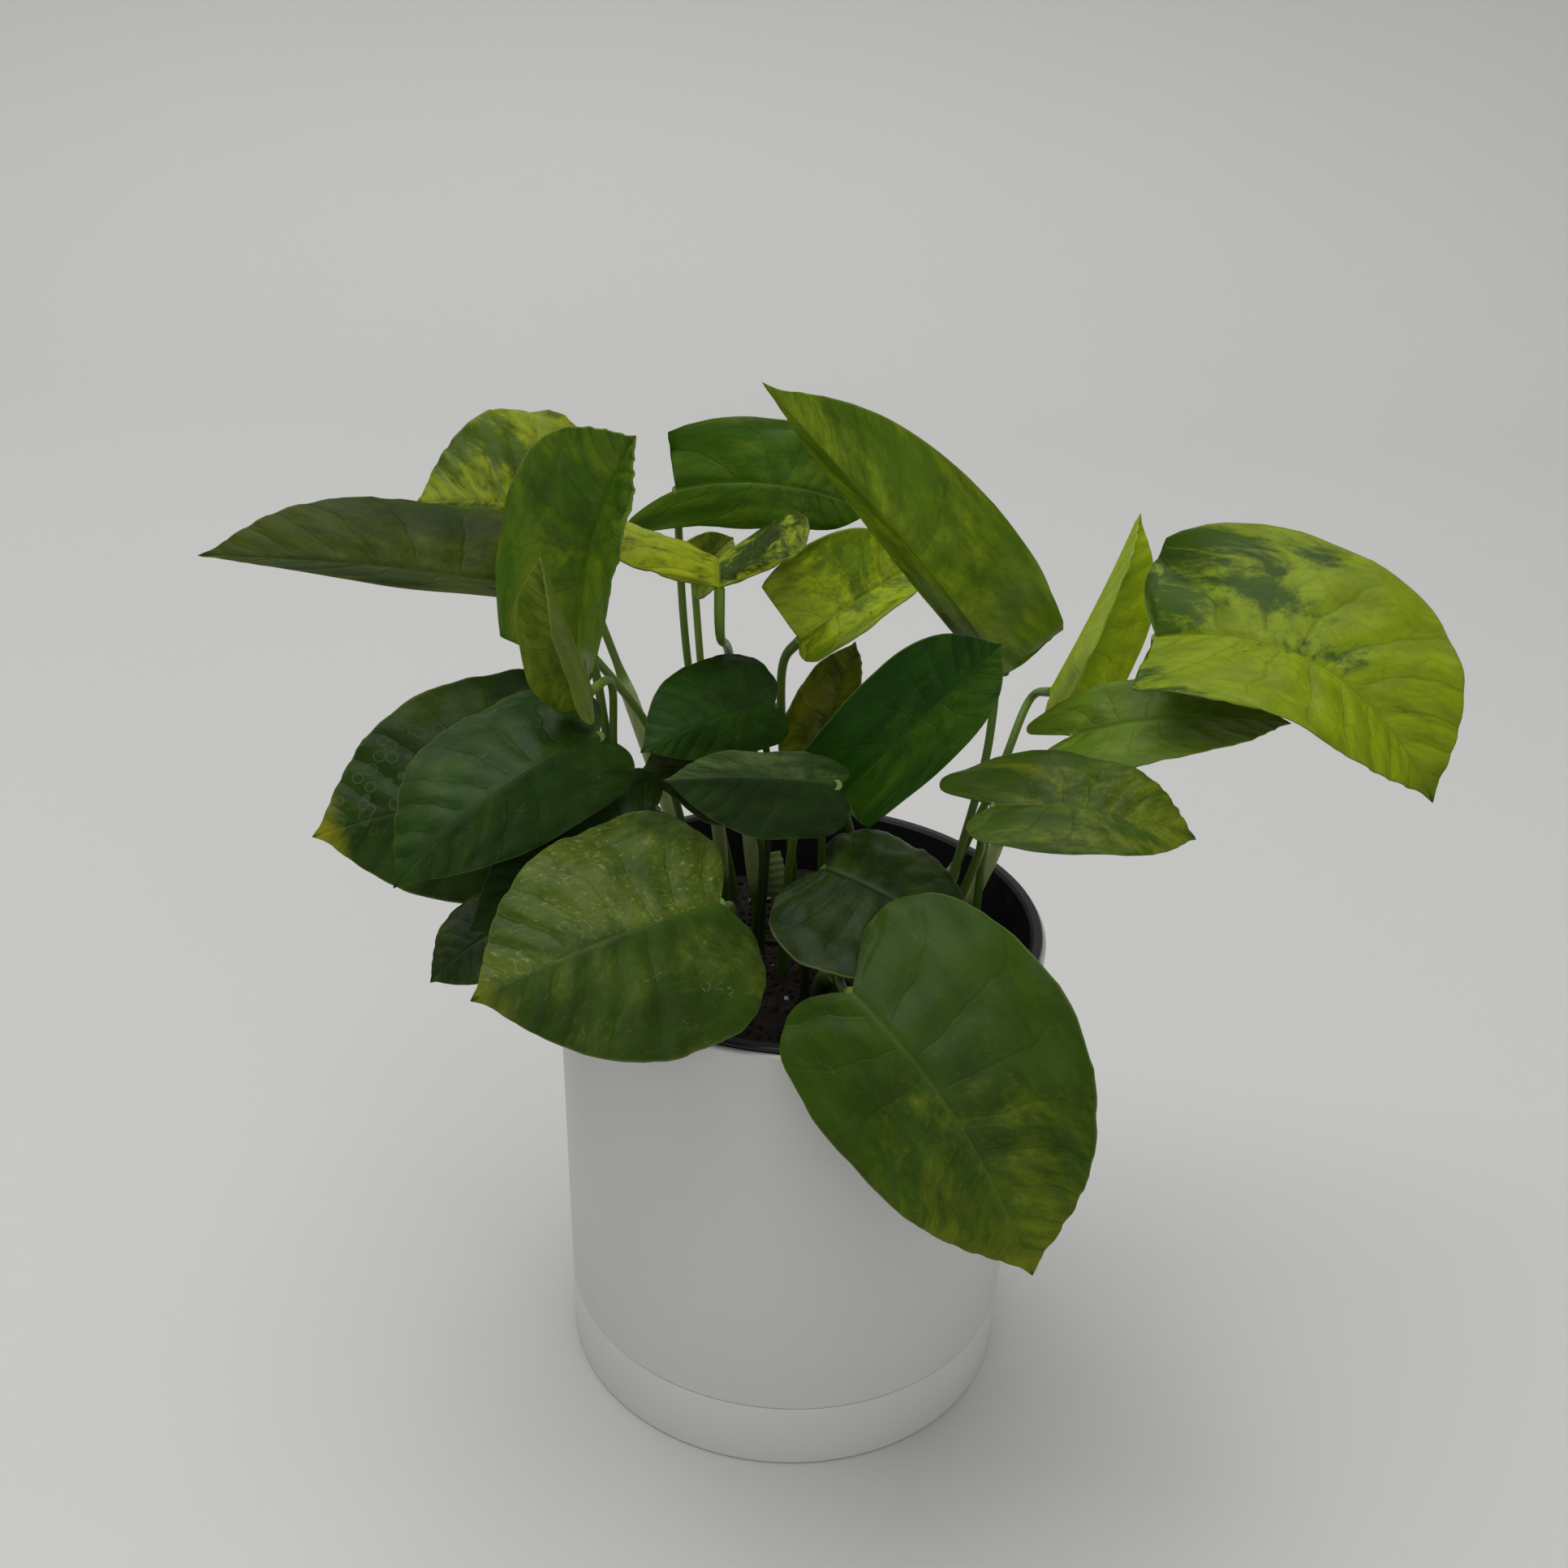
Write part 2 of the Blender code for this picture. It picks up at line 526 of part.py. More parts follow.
def tube(name, points, radius, sides, finish):
    """Closed round tube along points, with flat ends, that never turns about its own line."""
    tangents = [unit(points[min(index + 1, len(points) - 1)] - points[max(index - 1, 0)])
                for index in range(len(points))]
    across = unit(np.cross(tangents[0], TUBE_REFERENCE))
    vertices = []
    for point, tangent in zip(points, tangents):
        across = unit(across - tangent * np.dot(across, tangent))
        other = np.cross(tangent, across)
        for side in range(sides):
            angle = 2 * math.pi * side / sides
            vertices.append(point + radius * (across * math.cos(angle) + other * math.sin(angle)))
    faces = [list(range(sides))[::-1]]
    for ring in range(len(points) - 1):
        for side in range(sides):
            after = (side + 1) % sides
            faces.append([ring * sides + side, ring * sides + after,
                          (ring + 1) * sides + after, (ring + 1) * sides + side])
    faces.append([(len(points) - 1) * sides + side for side in range(sides)])
    return new_object(name, vertices, faces, finish, TUBE_SHARP_ANGLE)


def stalk_points(leaf_row):
    """Centre line of a leaf stalk in millimetres, from the soil to just under its blade."""
    _, tangent, right, normal = midrib_frame(leaf_row, 0.0)
    hang = (min(0, leaf_row.fold[1]) - min(0, leaf_row.fold[0])) / 90
    back = unit(STALK_ASIDE * hang * right - STALK_BACK * tangent - STALK_BELOW * normal)
    room = (GAP + LEAF_THICKNESS / 2) / MM
    flats = leaf_row.radius * math.cos(math.pi / STALK_SIDES)
    rim = flats * math.sqrt(1 - np.dot(back, normal) ** 2)
    depth = rim * STALK_CAP + room
    base = np.array(leaf_row.base, dtype=float)
    end = base - back * depth / np.dot(back, normal)
    foot = soil_seat(leaf_row.foot, leaf_row.radius)
    path = [foot, foot + (0, 0, STALK_RISE)] + leaf_row.via
    path += [base + back * STALK_APPROACH, end]
    return smooth_path(path, STALK_RINGS)


def build_leaf(leaf_row):
    vertices, faces = blade_mesh(leaf_row, LEAF_ROWS, LOBE_ROWS, BLADE_COLUMNS)
    finish = material(f"leaf_{leaf_row.tint}", GREENS[leaf_row.tint], LEAF_ROUGHNESS)
    blade = new_object(f"leaf_{leaf_row.name}", vertices * MM, faces, finish)
    skin = blade.modifiers.new("thickness", "SOLIDIFY")
    skin.thickness = LEAF_THICKNESS
    skin.offset = 0.0
    tube(f"stalk_{leaf_row.name}", stalk_points(leaf_row) * MM, leaf_row.radius * MM,
         STALK_SIDES, material("leaf_stalk", STALK_GREEN, STALK_ROUGHNESS))


def build_vine(name, foot, points):
    seat = soil_seat((foot[0] * SPREAD, foot[1] * SPREAD), VINE_RADIUS / MM)
    path = [seat, seat + (0, 0, VINE_RISE)]
    path += [raised((x * SPREAD, y * SPREAD, z)) for x, y, z in points]
    tube(name, smooth_path(path, VINE_RINGS) * MM, VINE_RADIUS, VINE_SIDES,
         material("main_stem", VINE_GREEN, VINE_ROUGHNESS))


def main():
    for item in list(bpy.data.objects):
        bpy.data.objects.remove(item, do_unlink=True)
    build_saucer()
    build_planter()
    build_nursery_pot()
    build_soil()
    for vine in VINES:
        build_vine(*vine)
    for leaf_row in LEAVES:
        build_leaf(leaf_row)


if __name__ == "__main__":
    main()
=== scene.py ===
"""Looks of the potted pothos: fine blades, stalks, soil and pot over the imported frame.

Frame: origin at the centre of the saucer's underside, +Z up, +X right, -Y to the front, metres.
The tables of leaves and main stems are in millimetres and degrees.
"""

import math
import random
from collections import namedtuple

import bpy
import numpy as np
from bpy.props import FloatProperty, FloatVectorProperty, IntProperty, PointerProperty
from mathutils import Matrix, Vector


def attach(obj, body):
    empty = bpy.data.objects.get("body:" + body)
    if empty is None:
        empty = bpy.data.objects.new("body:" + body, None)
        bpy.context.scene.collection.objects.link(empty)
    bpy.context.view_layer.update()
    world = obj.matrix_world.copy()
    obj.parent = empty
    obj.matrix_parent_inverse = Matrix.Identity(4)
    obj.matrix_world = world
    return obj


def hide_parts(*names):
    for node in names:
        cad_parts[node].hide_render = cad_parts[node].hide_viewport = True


bl_info = {
    "name": "Potted pothos",
    "version": (1, 0, 0),
    "blender": (4, 5, 0),
    "location": "3D View > Sidebar > Pothos",
    "description": "Builds the leaves, stalks, soil, pot and stage of a potted pothos",
    "category": "Object",
}

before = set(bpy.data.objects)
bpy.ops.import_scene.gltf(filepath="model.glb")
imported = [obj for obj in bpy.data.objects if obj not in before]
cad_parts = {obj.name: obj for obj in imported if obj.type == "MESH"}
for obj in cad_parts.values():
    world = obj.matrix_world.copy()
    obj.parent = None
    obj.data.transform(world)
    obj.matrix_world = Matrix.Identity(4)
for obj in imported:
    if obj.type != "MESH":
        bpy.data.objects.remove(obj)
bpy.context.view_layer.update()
MM = 0.001

# Pot, as on the frame
TOTAL_HEIGHT = 0.170
RIM_RADIUS = 0.0825
BASE_RADIUS = 0.0786
GAP = 0.0003
SAUCER_HEIGHT = 0.0256
SAUCER_WALL = 0.0024
SAUCER_FLOOR = 0.003
SAUCER_LEDGE_HEIGHT = 0.009
SAUCER_LEDGE_WIDTH = 0.009
FOOT_ROUND = 0.0012
SEAM_ROUND = 0.0004
PLANTER_WALL = 0.0025
PLANTER_FLOOR = 0.003
SKIRT_CLEARANCE = 0.0006
RIM_ROUND = 0.0009
DRAIN_RADIUS = 0.005
DRAIN_CIRCLE = 0.035
DRAIN_COUNT = 4
NURSERY_HEIGHT = 0.142
NURSERY_BASE_RADIUS = 0.058
NURSERY_WALL = 0.0012
NURSERY_SIDE_CLEARANCE = 0.0016
LIP_THICKNESS = 0.0018
LIP_OVERHANG = 0.0013
LIP_INNER_STEP = 0.0010
NURSERY_DRAIN_RADIUS = 0.004
NURSERY_DRAIN_CIRCLE = 0.040
SOIL_DEPTH_BELOW_RIM = 0.024
SOIL_BUMP = 0.0012
SOIL_WAVE = (90.0, 80.0)
SOIL_PHASE = 1.0
SEAT_SINK = 0.002               # stems run down into the loose soil
SOIL_SHAKE = 0.0005             # how far its fine facets stand off the wave, up or down
SOIL_SHAKE_SEED = 5
SOIL_FACETS = 120
SOIL_RINGS = 40
CRUMB_MARGIN = 0.003            # bare strip between the crumbs and the nursery pot
CRUMB_SHEET_STEPS = 48

PLANTER_UNDERSIDE = SAUCER_LEDGE_HEIGHT + GAP
LIP_UNDERSIDE = TOTAL_HEIGHT + GAP
LIP_TOP = LIP_UNDERSIDE + LIP_THICKNESS
NURSERY_UNDERSIDE = LIP_TOP - NURSERY_HEIGHT
NURSERY_TOP_RADIUS = RIM_RADIUS - PLANTER_WALL - NURSERY_SIDE_CLEARANCE
SOIL_UNDERSIDE = NURSERY_UNDERSIDE + NURSERY_WALL + GAP
SOIL_TOP = LIP_TOP - SOIL_DEPTH_BELOW_RIM

# Stalks
STALK_BACK = 0.45
STALK_BELOW = 0.8
STALK_ASIDE = 0.7
STALK_APPROACH = 14.0
STALK_RISE = 8.0
STALK_END_DEPTH = 0.3           # its centre line ends this far below the midrib
STALK_STOUTER = 1.05            # drawn radius over the one in the table
STALK_STEPS = 48
SHEATHED = {"02": 0.62, "18": 0.55, "19": 0.45, "21": 0.30, "22": 0.35}
VINE_RADIUS = 0.0032
VINE_RISE = 3.0
VINE_STEPS = 40
CURVE_STEPS = 16                # between two given points of a smooth path

# Blades. RIPPLE, RIB_SINK and RIB_SWELL are in metres.
RIPPLE = 0.001                  # wave of the margin
RIB_SINK = 0.0004               # how far both sides dip at the midrib
RIB_SWELL = 0.0006              # how far it stands out below
UNEVEN = 0.26                   # broad unevenness, over the distance from the midrib
OUTLINE_STEPS = 481
LOBE_TURN = 0.94                # share of the half-width where the lobe's outline turns
ROW_EASE = 1.15                 # rows start closer together near the stalk
ROW_LAST = 0.97
ROW_BOW = 1.3                   # how strongly a row bends towards the tip
SEED_STEP = 3.7                 # between the noise of one leaf and the next

# One leaf. Points are in millimetres and angles in degrees; pairs are (left, right), seen
# from the upper side with the tip ahead.
#   base     end of the stalk, where the midrib starts; tip is where it ends
#   face     rough direction that the upper side looks towards
#   half     width of each half, flat; lobe scales how far each runs back behind the stalk
#   arch     how far the midrib bows out on the upper side; sweep is its bow to the right
#   fold     rise of each half at the midrib; curl is what that angle gains by the margin
#   swell    below 1 moves the widest place towards the tip
#   foot     where the stalk leaves the soil; via are the points that it passes on its way
#   radius   of the stalk
Leaf = namedtuple(
    "Leaf", "name tint base tip face half foot via arch sweep fold curl lobe swell radius",
    defaults=(0, 0, (10, 10), (0, 0), (1, 1), 1.0, 1.4))

LEAVES = [
    # upper left
    Leaf("01", "mid", (-85, 24, 274), (-190, -10, 293), (0, -3, 10), (7, 30),
         (-36, 22), [(-54, 24, 225)], arch=3, fold=(-14, 38), curl=(-10, -40), lobe=(1.2, 1)),
    Leaf("02", "lime", (-84, 66, 285), (-136, 48, 294), (-2, -7, 8), (26, 40),
         (-40, 42), [(-62, 56, 215)], arch=6, fold=(-10, 15), curl=(-150, -20)),
    Leaf("03", "mid", (-74, -12, 269), (-54, -22, 340), (-3, -10, 2), (31, 24),
         (-40, 12), [(-64, 0, 226)], arch=-4, sweep=-6, fold=(10, 42), curl=(-20, 10),
         lobe=(0.2, 1), swell=0.62),
    Leaf("04", "lime", (-66, -38, 266), (-77, -56, 314), (-3, -9, 2), (16, 12),
         (-48, 2), [(-62, -8, 226)], fold=(10, 70), curl=(20, 20), radius=1.2),
    # lower left
    Leaf("05", "dark", (-74, 0, 218), (-156, -30, 208), (-2, -8, 6), (37, 42),
         (-50, 16), [(-64, 14, 196)], arch=8, fold=(-8, 5), curl=(-20, -20)),
    Leaf("06", "mid", (-63, -40, 253), (-117, -82, 221), (-4, -7, 8), (22, 36),
         (-54, -8), [(-56, -12, 216)], arch=8, fold=(-48, 5), curl=(-10, -25)),
    Leaf("07", "dark", (-46, -38, 228), (-99, -68, 199), (-3, -9, 5), (26, 20),
         (-38, -14), [(-40, -22, 200)], arch=8, fold=(-8, 0), curl=(-15, -25)),
    Leaf("08", "dark", (-86, -40, 190), (-114, -58, 174), (-3, -7, 7), (16, 16),
         (-56, -20), [(-74, -30, 196)], arch=4, fold=(0, 0), curl=(-10, -10), radius=1.1),
    # front
    Leaf("09", "mid", (-24, -68, 214), (-91, -106, 200), (-1, -8, 7), (40, 40),
         (-24, -28), [(-22, -46, 200)], arch=8, fold=(-5, 0), curl=(-25, -30)),
    Leaf("10", "dark", (7, -44, 214), (54, -62, 194), (1, -4, 9), (33, 36),
         (2, -24), [(2, -34, 205)], arch=5, fold=(-5, 6), curl=(-30, -8)),
    Leaf("11", "mid", (16, -88, 198), (71, -128, 132), (1, -8, 6), (49, 33),
         (16, -36), [(10, -60, 192)], arch=10, sweep=-4, fold=(0, -5), curl=(-15, -22),
         lobe=(1.0, 0.8), swell=0.88),
    # centre, low
    Leaf("12", "mid", (9, -34, 238), (-42, -58, 248), (0, -3, 10), (19, 14),
         (-6, -2), [(-2, -12, 215)], arch=2, fold=(-62, -2), curl=(0, 0)),
    Leaf("13", "dark", (-12, -4, 250), (-51, -38, 247), (-3, -7, 7), (14, 22),
         (-14, 13), [(-13, 5, 220)], arch=4, fold=(-40, 18), curl=(-10, -20), radius=1.1),
    Leaf("14", "dark", (11, -11, 223), (58, -5, 275), (-2, -10, 5), (21, 16),
         (16, 6), [(15, 4, 200)], arch=2, fold=(5, 5), curl=(10, -10), lobe=(0.2, 0.2),
         swell=0.5),
    Leaf("15", "lime", (1, 8, 227), (13, 24, 262), (-3, -10, 3), (15, 16),
         (6, 18), [(4, 16, 205)], arch=-3, fold=(5, 25), curl=(60, 60), radius=1.2),
    # upper centre
    Leaf("16", "mid", (64, 34, 249), (-18, -34, 360), (-2, -10, 6), (10, 28),
         (46, 14), [(60, 30, 220)], arch=15, sweep=1, fold=(-58, 8), curl=(0, -15),
         lobe=(0.3, 0.15), swell=0.7),
    Leaf("17", "mid", (-49, 52, 302), (17, 46, 299), (0, -5, 9), (22, 15),
         (-26, 44), [(-44, 50, 240)], arch=8, fold=(45, -35), curl=(-20, -30),
         lobe=(0, 2.5), swell=0.52, radius=1.3),
    Leaf("18", "lime", (-30, -8, 290), (-33, 28, 279), (0, -3, 10), (38, 32),
         (-16, 24), [(-28, 26, 252)], arch=8, fold=(30, 35), curl=(-20, -10), lobe=(0.3, 0.3)),
    Leaf("19", "lime", (-42, 40, 276), (-29, 44, 289), (2, -10, 6), (11, 11),
         (-28, 34), [(-38, 36, 240)], arch=2, fold=(20, 30), curl=(20, 20), radius=1.2),
    Leaf("20", "lime", (-5, 10, 267), (35, 40, 286), (-2, -10, 5), (24, 16),
         (-2, 28), [(-10, 20, 232)], arch=4, fold=(2, 38), curl=(20, 10), lobe=(0, 0.5),
         swell=0.75),
    # right
    Leaf("21", "lime", (82, 44, 239), (107, 60, 299), (2, -10, 0), (20, 21),
         (48, 34), [(66, 36, 212)], arch=2, fold=(80, 10), curl=(0, 10)),
    Leaf("22", "lime", (107, 5, 276), (185, -45, 247), (1, -6, 9), (42, 30),
         (56, 24), [(72, 28, 200)], arch=17, sweep=-9, fold=(16, 14), curl=(-10, -12),
         lobe=(0.4, 0), swell=0.78),
    Leaf("23", "mid", (84, -2, 244), (149, -12, 256), (0, -5, 9), (17, 21),
         (60, 14), [(66, 10, 222)], arch=6, fold=(10, 20), curl=(-20, -10), lobe=(2, 1.5)),
    Leaf("24", "mid", (57, -41, 237), (117, -47, 232), (0, -5, 9), (24, 17),
         (46, 2), [(56, -14, 205)], arch=6, fold=(0, 12), curl=(-20, -20), lobe=(2.5, 1),
         swell=0.75),
    Leaf("25", "dark", (-17, -6, 222), (-53, -20, 232), (0, -3, 10), (18, 22),
         (-16, 4), [(-15, -2, 200)], arch=4, fold=(-20, 15), curl=(-20, -20), radius=1.1),
]

VINES = [
    ("vine_left", (-44, 28), [(-48, 26, 158), (-55, 22, 167)]),
    ("vine_front", (8, -14), [(9, -19, 158), (12, -27, 165)]),
    ("vine_centre", (-8, 34), [(-9, 36, 160), (-12, 42, 172)]),
    ("vine_right", (36, 24), [(39, 27, 158), (44, 33, 168)]),
]

# Colouring of one blade.
#   deep, pale   its two greens, and share is how much of it the pale one covers
#   sharp        how hard the pale patches' edges are, 0 soft to 1 cut out
#   lean         pulls the pale colour to the right half (+) or the left half (-)
#   reach        pulls the pale colour to the tip (+) or the stalk end (-)
#   speck        cream flecks; ring is dried water rings; scuff is scratches
#   tip          a yellow tip (+) or a dark one (-)
Look = namedtuple("Look", "deep pale share sharp lean reach speck tip ring scuff",
                  defaults=(0.3, 0.3, 0.0, 0.0, 0.0, 0.0, 0.0, 0.0))

LOOKS = {
    "01": Look((0.020, 0.038, 0.002), (0.052, 0.072, 0.003), 0.45, 0.1, lean=0.2),
    "02": Look((0.060, 0.100, 0.005), (0.210, 0.260, 0.012), 0.55, 0.6, reach=-0.2),
    "03": Look((0.046, 0.115, 0.003), (0.115, 0.190, 0.006), 0.50, 0.3),
    "04": Look((0.085, 0.145, 0.006), (0.175, 0.240, 0.014), 0.50, 0.2),
    "05": Look((0.018, 0.044, 0.003), (0.050, 0.085, 0.006), 0.25, 0.3, tip=1.0, ring=1.0),
    "06": Look((0.013, 0.040, 0.004), (0.030, 0.064, 0.006), 0.40, 0.1, scuff=0.3),
    "07": Look((0.011, 0.030, 0.002), (0.030, 0.058, 0.004), 0.20, 0.2),
    "08": Look((0.014, 0.032, 0.004), (0.050, 0.074, 0.010), 0.30, 0.3),
    "09": Look((0.028, 0.060, 0.004), (0.080, 0.115, 0.012), 0.45, 0.2, lean=0.3, speck=0.9,
               tip=0.3, scuff=0.8),
    "10": Look((0.007, 0.020, 0.002), (0.024, 0.044, 0.004), 0.40, 0.2),
    "11": Look((0.026, 0.058, 0.002), (0.090, 0.125, 0.003), 0.22, 0.2, lean=0.2, reach=0.8,
               tip=0.4, scuff=0.2),
    "12": Look((0.014, 0.034, 0.005), (0.060, 0.095, 0.022), 0.30, 0.2, lean=0.6),
    "13": Look((0.012, 0.044, 0.002), (0.028, 0.066, 0.004), 0.30, 0.2, scuff=0.3),
    "14": Look((0.010, 0.048, 0.001), (0.034, 0.088, 0.002), 0.40, 0.3, lean=0.4),
    "15": Look((0.050, 0.070, 0.004), (0.150, 0.170, 0.008), 0.60, 0.4),
    "16": Look((0.075, 0.150, 0.004), (0.200, 0.290, 0.008), 0.45, 0.3, speck=0.35),
    "17": Look((0.038, 0.098, 0.003), (0.085, 0.150, 0.006), 0.35, 0.2),
    "18": Look((0.024, 0.050, 0.002), (0.240, 0.290, 0.005), 0.55, 0.7, reach=-0.2, lean=-0.3),
    "19": Look((0.080, 0.130, 0.010), (0.180, 0.230, 0.020), 0.60, 0.2),
    # painted light: blades 20 and 21 are partly their own lime green and partly painted light,
    # their greens raised to stand in for light shining through them
    "20": Look((0.090, 0.150, 0.003), (0.260, 0.330, 0.006), 0.50, 0.5, speck=0.3),
    "21": Look((0.240, 0.360, 0.008), (0.380, 0.500, 0.010), 0.50, 0.2),
    "22": Look((0.034, 0.072, 0.002), (0.175, 0.240, 0.002), 0.78, 0.75, lean=0.25, reach=0.55,
               tip=-0.6),
    "23": Look((0.085, 0.150, 0.008), (0.150, 0.220, 0.020), 0.35, 0.2),
    "24": Look((0.034, 0.068, 0.003), (0.110, 0.145, 0.006), 0.45, 0.4, reach=0.2, speck=0.3),
    "25": Look((0.018, 0.032, 0.004), (0.044, 0.060, 0.006), 0.30, 0.2),
}

# Half outline of a flat blade from the notch at the stalk, round the lobe, to the tip:
# across in half-widths, along in blade lengths.
HALF_OUTLINE = [
    (0.00, 0.000), (0.16, -0.060), (0.38, -0.115), (0.64, -0.105), (0.87, -0.020),
    (0.99, 0.110), (1.00, 0.260), (0.96, 0.420), (0.86, 0.570), (0.70, 0.710),
    (0.47, 0.825), (0.23, 0.910), (0.07, 0.960), (0.00, 1.000),
]


# Dry roots and a twig on the soil: points seen from above, in millimetres
ROOT_LINES = [
    ((-30, -40), (-12, -50), (6, -46)), ((24, -20), (40, -26), (52, -16)),
    ((-20, 44), (0, 52), (22, 47)), ((46, 18), (54, 4), (50, -12)),
]
ROOT_LIFT = 1.2
ROOT_STEPS = 24

# Stage: a floor that curves up into a wall, two softboxes and the camera
FLOOR_REACH = 4.0
COVE_START = 1.3
COVE_RADIUS = 0.6
COVE_STEPS = 15
WALL_TOP = 3.0
KEY_SIZE = 3.2
KEY_PLACE = (-0.55, 0.15, 3.4)
KEY_TARGET = (0.0, 0.05, 0.15)
FILL_SIZE = 1.4
FILL_PLACE = (0.5, -1.5, 1.2)
FILL_TARGET = (0.0, 0.0, 0.15)
ROOM_COLOR = (1.0, 0.995, 0.98, 1.0)
ROOM_STRENGTH = 0.30
CAMERA_PLACE = (0.0030, -0.5234, 0.4787)
CAMERA_PITCH = 26.27            # degrees down
CAMERA_YAW = -1.2
CAMERA_ROLL = 2.37
CAMERA_SENSOR = 36.0


# ---------------------------------------------------------------- settings

class PotSettings(bpy.types.PropertyGroup):
    sides: IntProperty(name="Sides", description="Facets round each pot piece",
                       default=160, min=48, max=256)
    shell_color: FloatVectorProperty(name="Shell", description="Colour of planter and saucer",
                                     subtype="COLOR", size=3, default=(0.67, 0.67, 0.645))
    liner_color: FloatVectorProperty(name="Liner", description="Colour of the nursery pot",
                                     subtype="COLOR", size=3, default=(0.010, 0.010, 0.011))


class LeafSettings(bpy.types.PropertyGroup):
    thickness: FloatProperty(name="Thickness", description="Thickness of a blade",
                             default=0.0006, unit="LENGTH")
    rows: IntProperty(name="Rows", description="Rows from stalk to tip", default=46, min=8)
    lobe_rows: IntProperty(name="Lobe rows", description="Rows round each lobe", default=20,
                           min=4)
    columns: IntProperty(name="Columns", description="Cells from midrib to margin",
                         default=18, min=4)
    vein_depth: FloatProperty(name="Vein depth", description="How far the side veins sink in",
                              default=0.0010, unit="LENGTH")
    vein_count: FloatProperty(name="Side veins", description="Side veins per blade length",
                              default=9.0)


class SoilSettings(bpy.types.PropertyGroup):
    color: FloatVectorProperty(name="Soil", description="Colour of the moist soil",
                               subtype="COLOR", size=3, default=(0.012, 0.009, 0.007))
    grain: FloatProperty(name="Grain", description="Radius of a common crumb",
                         default=0.0016, unit="LENGTH")
    density: FloatProperty(name="Density", description="Crumbs per square metre",
                           default=90000.0)
    seed: IntProperty(name="Seed", description="Seed of the scattered crumbs", default=7)


class StageSettings(bpy.types.PropertyGroup):
    floor_color: FloatVectorProperty(name="Floor", description="Colour of floor and backdrop",
                                     subtype="COLOR", size=3, default=(0.575, 0.575, 0.565))
    key_power: FloatProperty(name="Key", description="Power of the overhead softbox",
                             default=92.0, unit="POWER")
    fill_power: FloatProperty(name="Fill", description="Power of the front softbox",
                              default=5.5, unit="POWER")
    lens: FloatProperty(name="Lens", description="Focal length of the camera", default=41.0,
                        unit="CAMERA")


# ---------------------------------------------------------------- node graphs

class Wire:
    """An output in a node tree, or a result of arithmetic on outputs."""

    def __init__(self, graph, socket):
        self.graph = graph
        self.socket = socket

    def is_vector(self):
        return self.socket.type in {"VECTOR", "RGBA"}

    def calculate(self, operation, first, second):
        vectors = [isinstance(value, (tuple, Vector)) or
                   (isinstance(value, Wire) and value.is_vector())
                   for value in (first, second)]
        if operation == "MULTIPLY" and vectors.count(True) == 1:
            line, number = (first, second) if vectors[0] else (second, first)
            return self.graph.node("ShaderNodeVectorMath", {"operation": "SCALE"},
                                   {0: line, "Scale": number})
        kind = "ShaderNodeVectorMath" if any(vectors) else "ShaderNodeMath"
        return self.graph.node(kind, {"operation": operation}, {0: first, 1: second})

    def __add__(self, other):
        return self.calculate("ADD", self, other)

    def __radd__(self, other):
        return self.calculate("ADD", other, self)

    def __sub__(self, other):
        return self.calculate("SUBTRACT", self, other)

    def __rsub__(self, other):
        return self.calculate("SUBTRACT", other, self)

    def __mul__(self, other):
        return self.calculate("MULTIPLY", self, other)

    def __rmul__(self, other):
        return self.calculate("MULTIPLY", other, self)

    def __truediv__(self, other):
        return self.calculate("DIVIDE", self, other)

    def __rtruediv__(self, other):
        return self.calculate("DIVIDE", other, self)

    def __pow__(self, other):
        return self.calculate("POWER", self, other)

    def __rpow__(self, other):
        return self.calculate("POWER", other, self)

    def __gt__(self, other):
        return self.calculate("GREATER_THAN", self, other)

    def __lt__(self, other):
        return self.calculate("LESS_THAN", self, other)


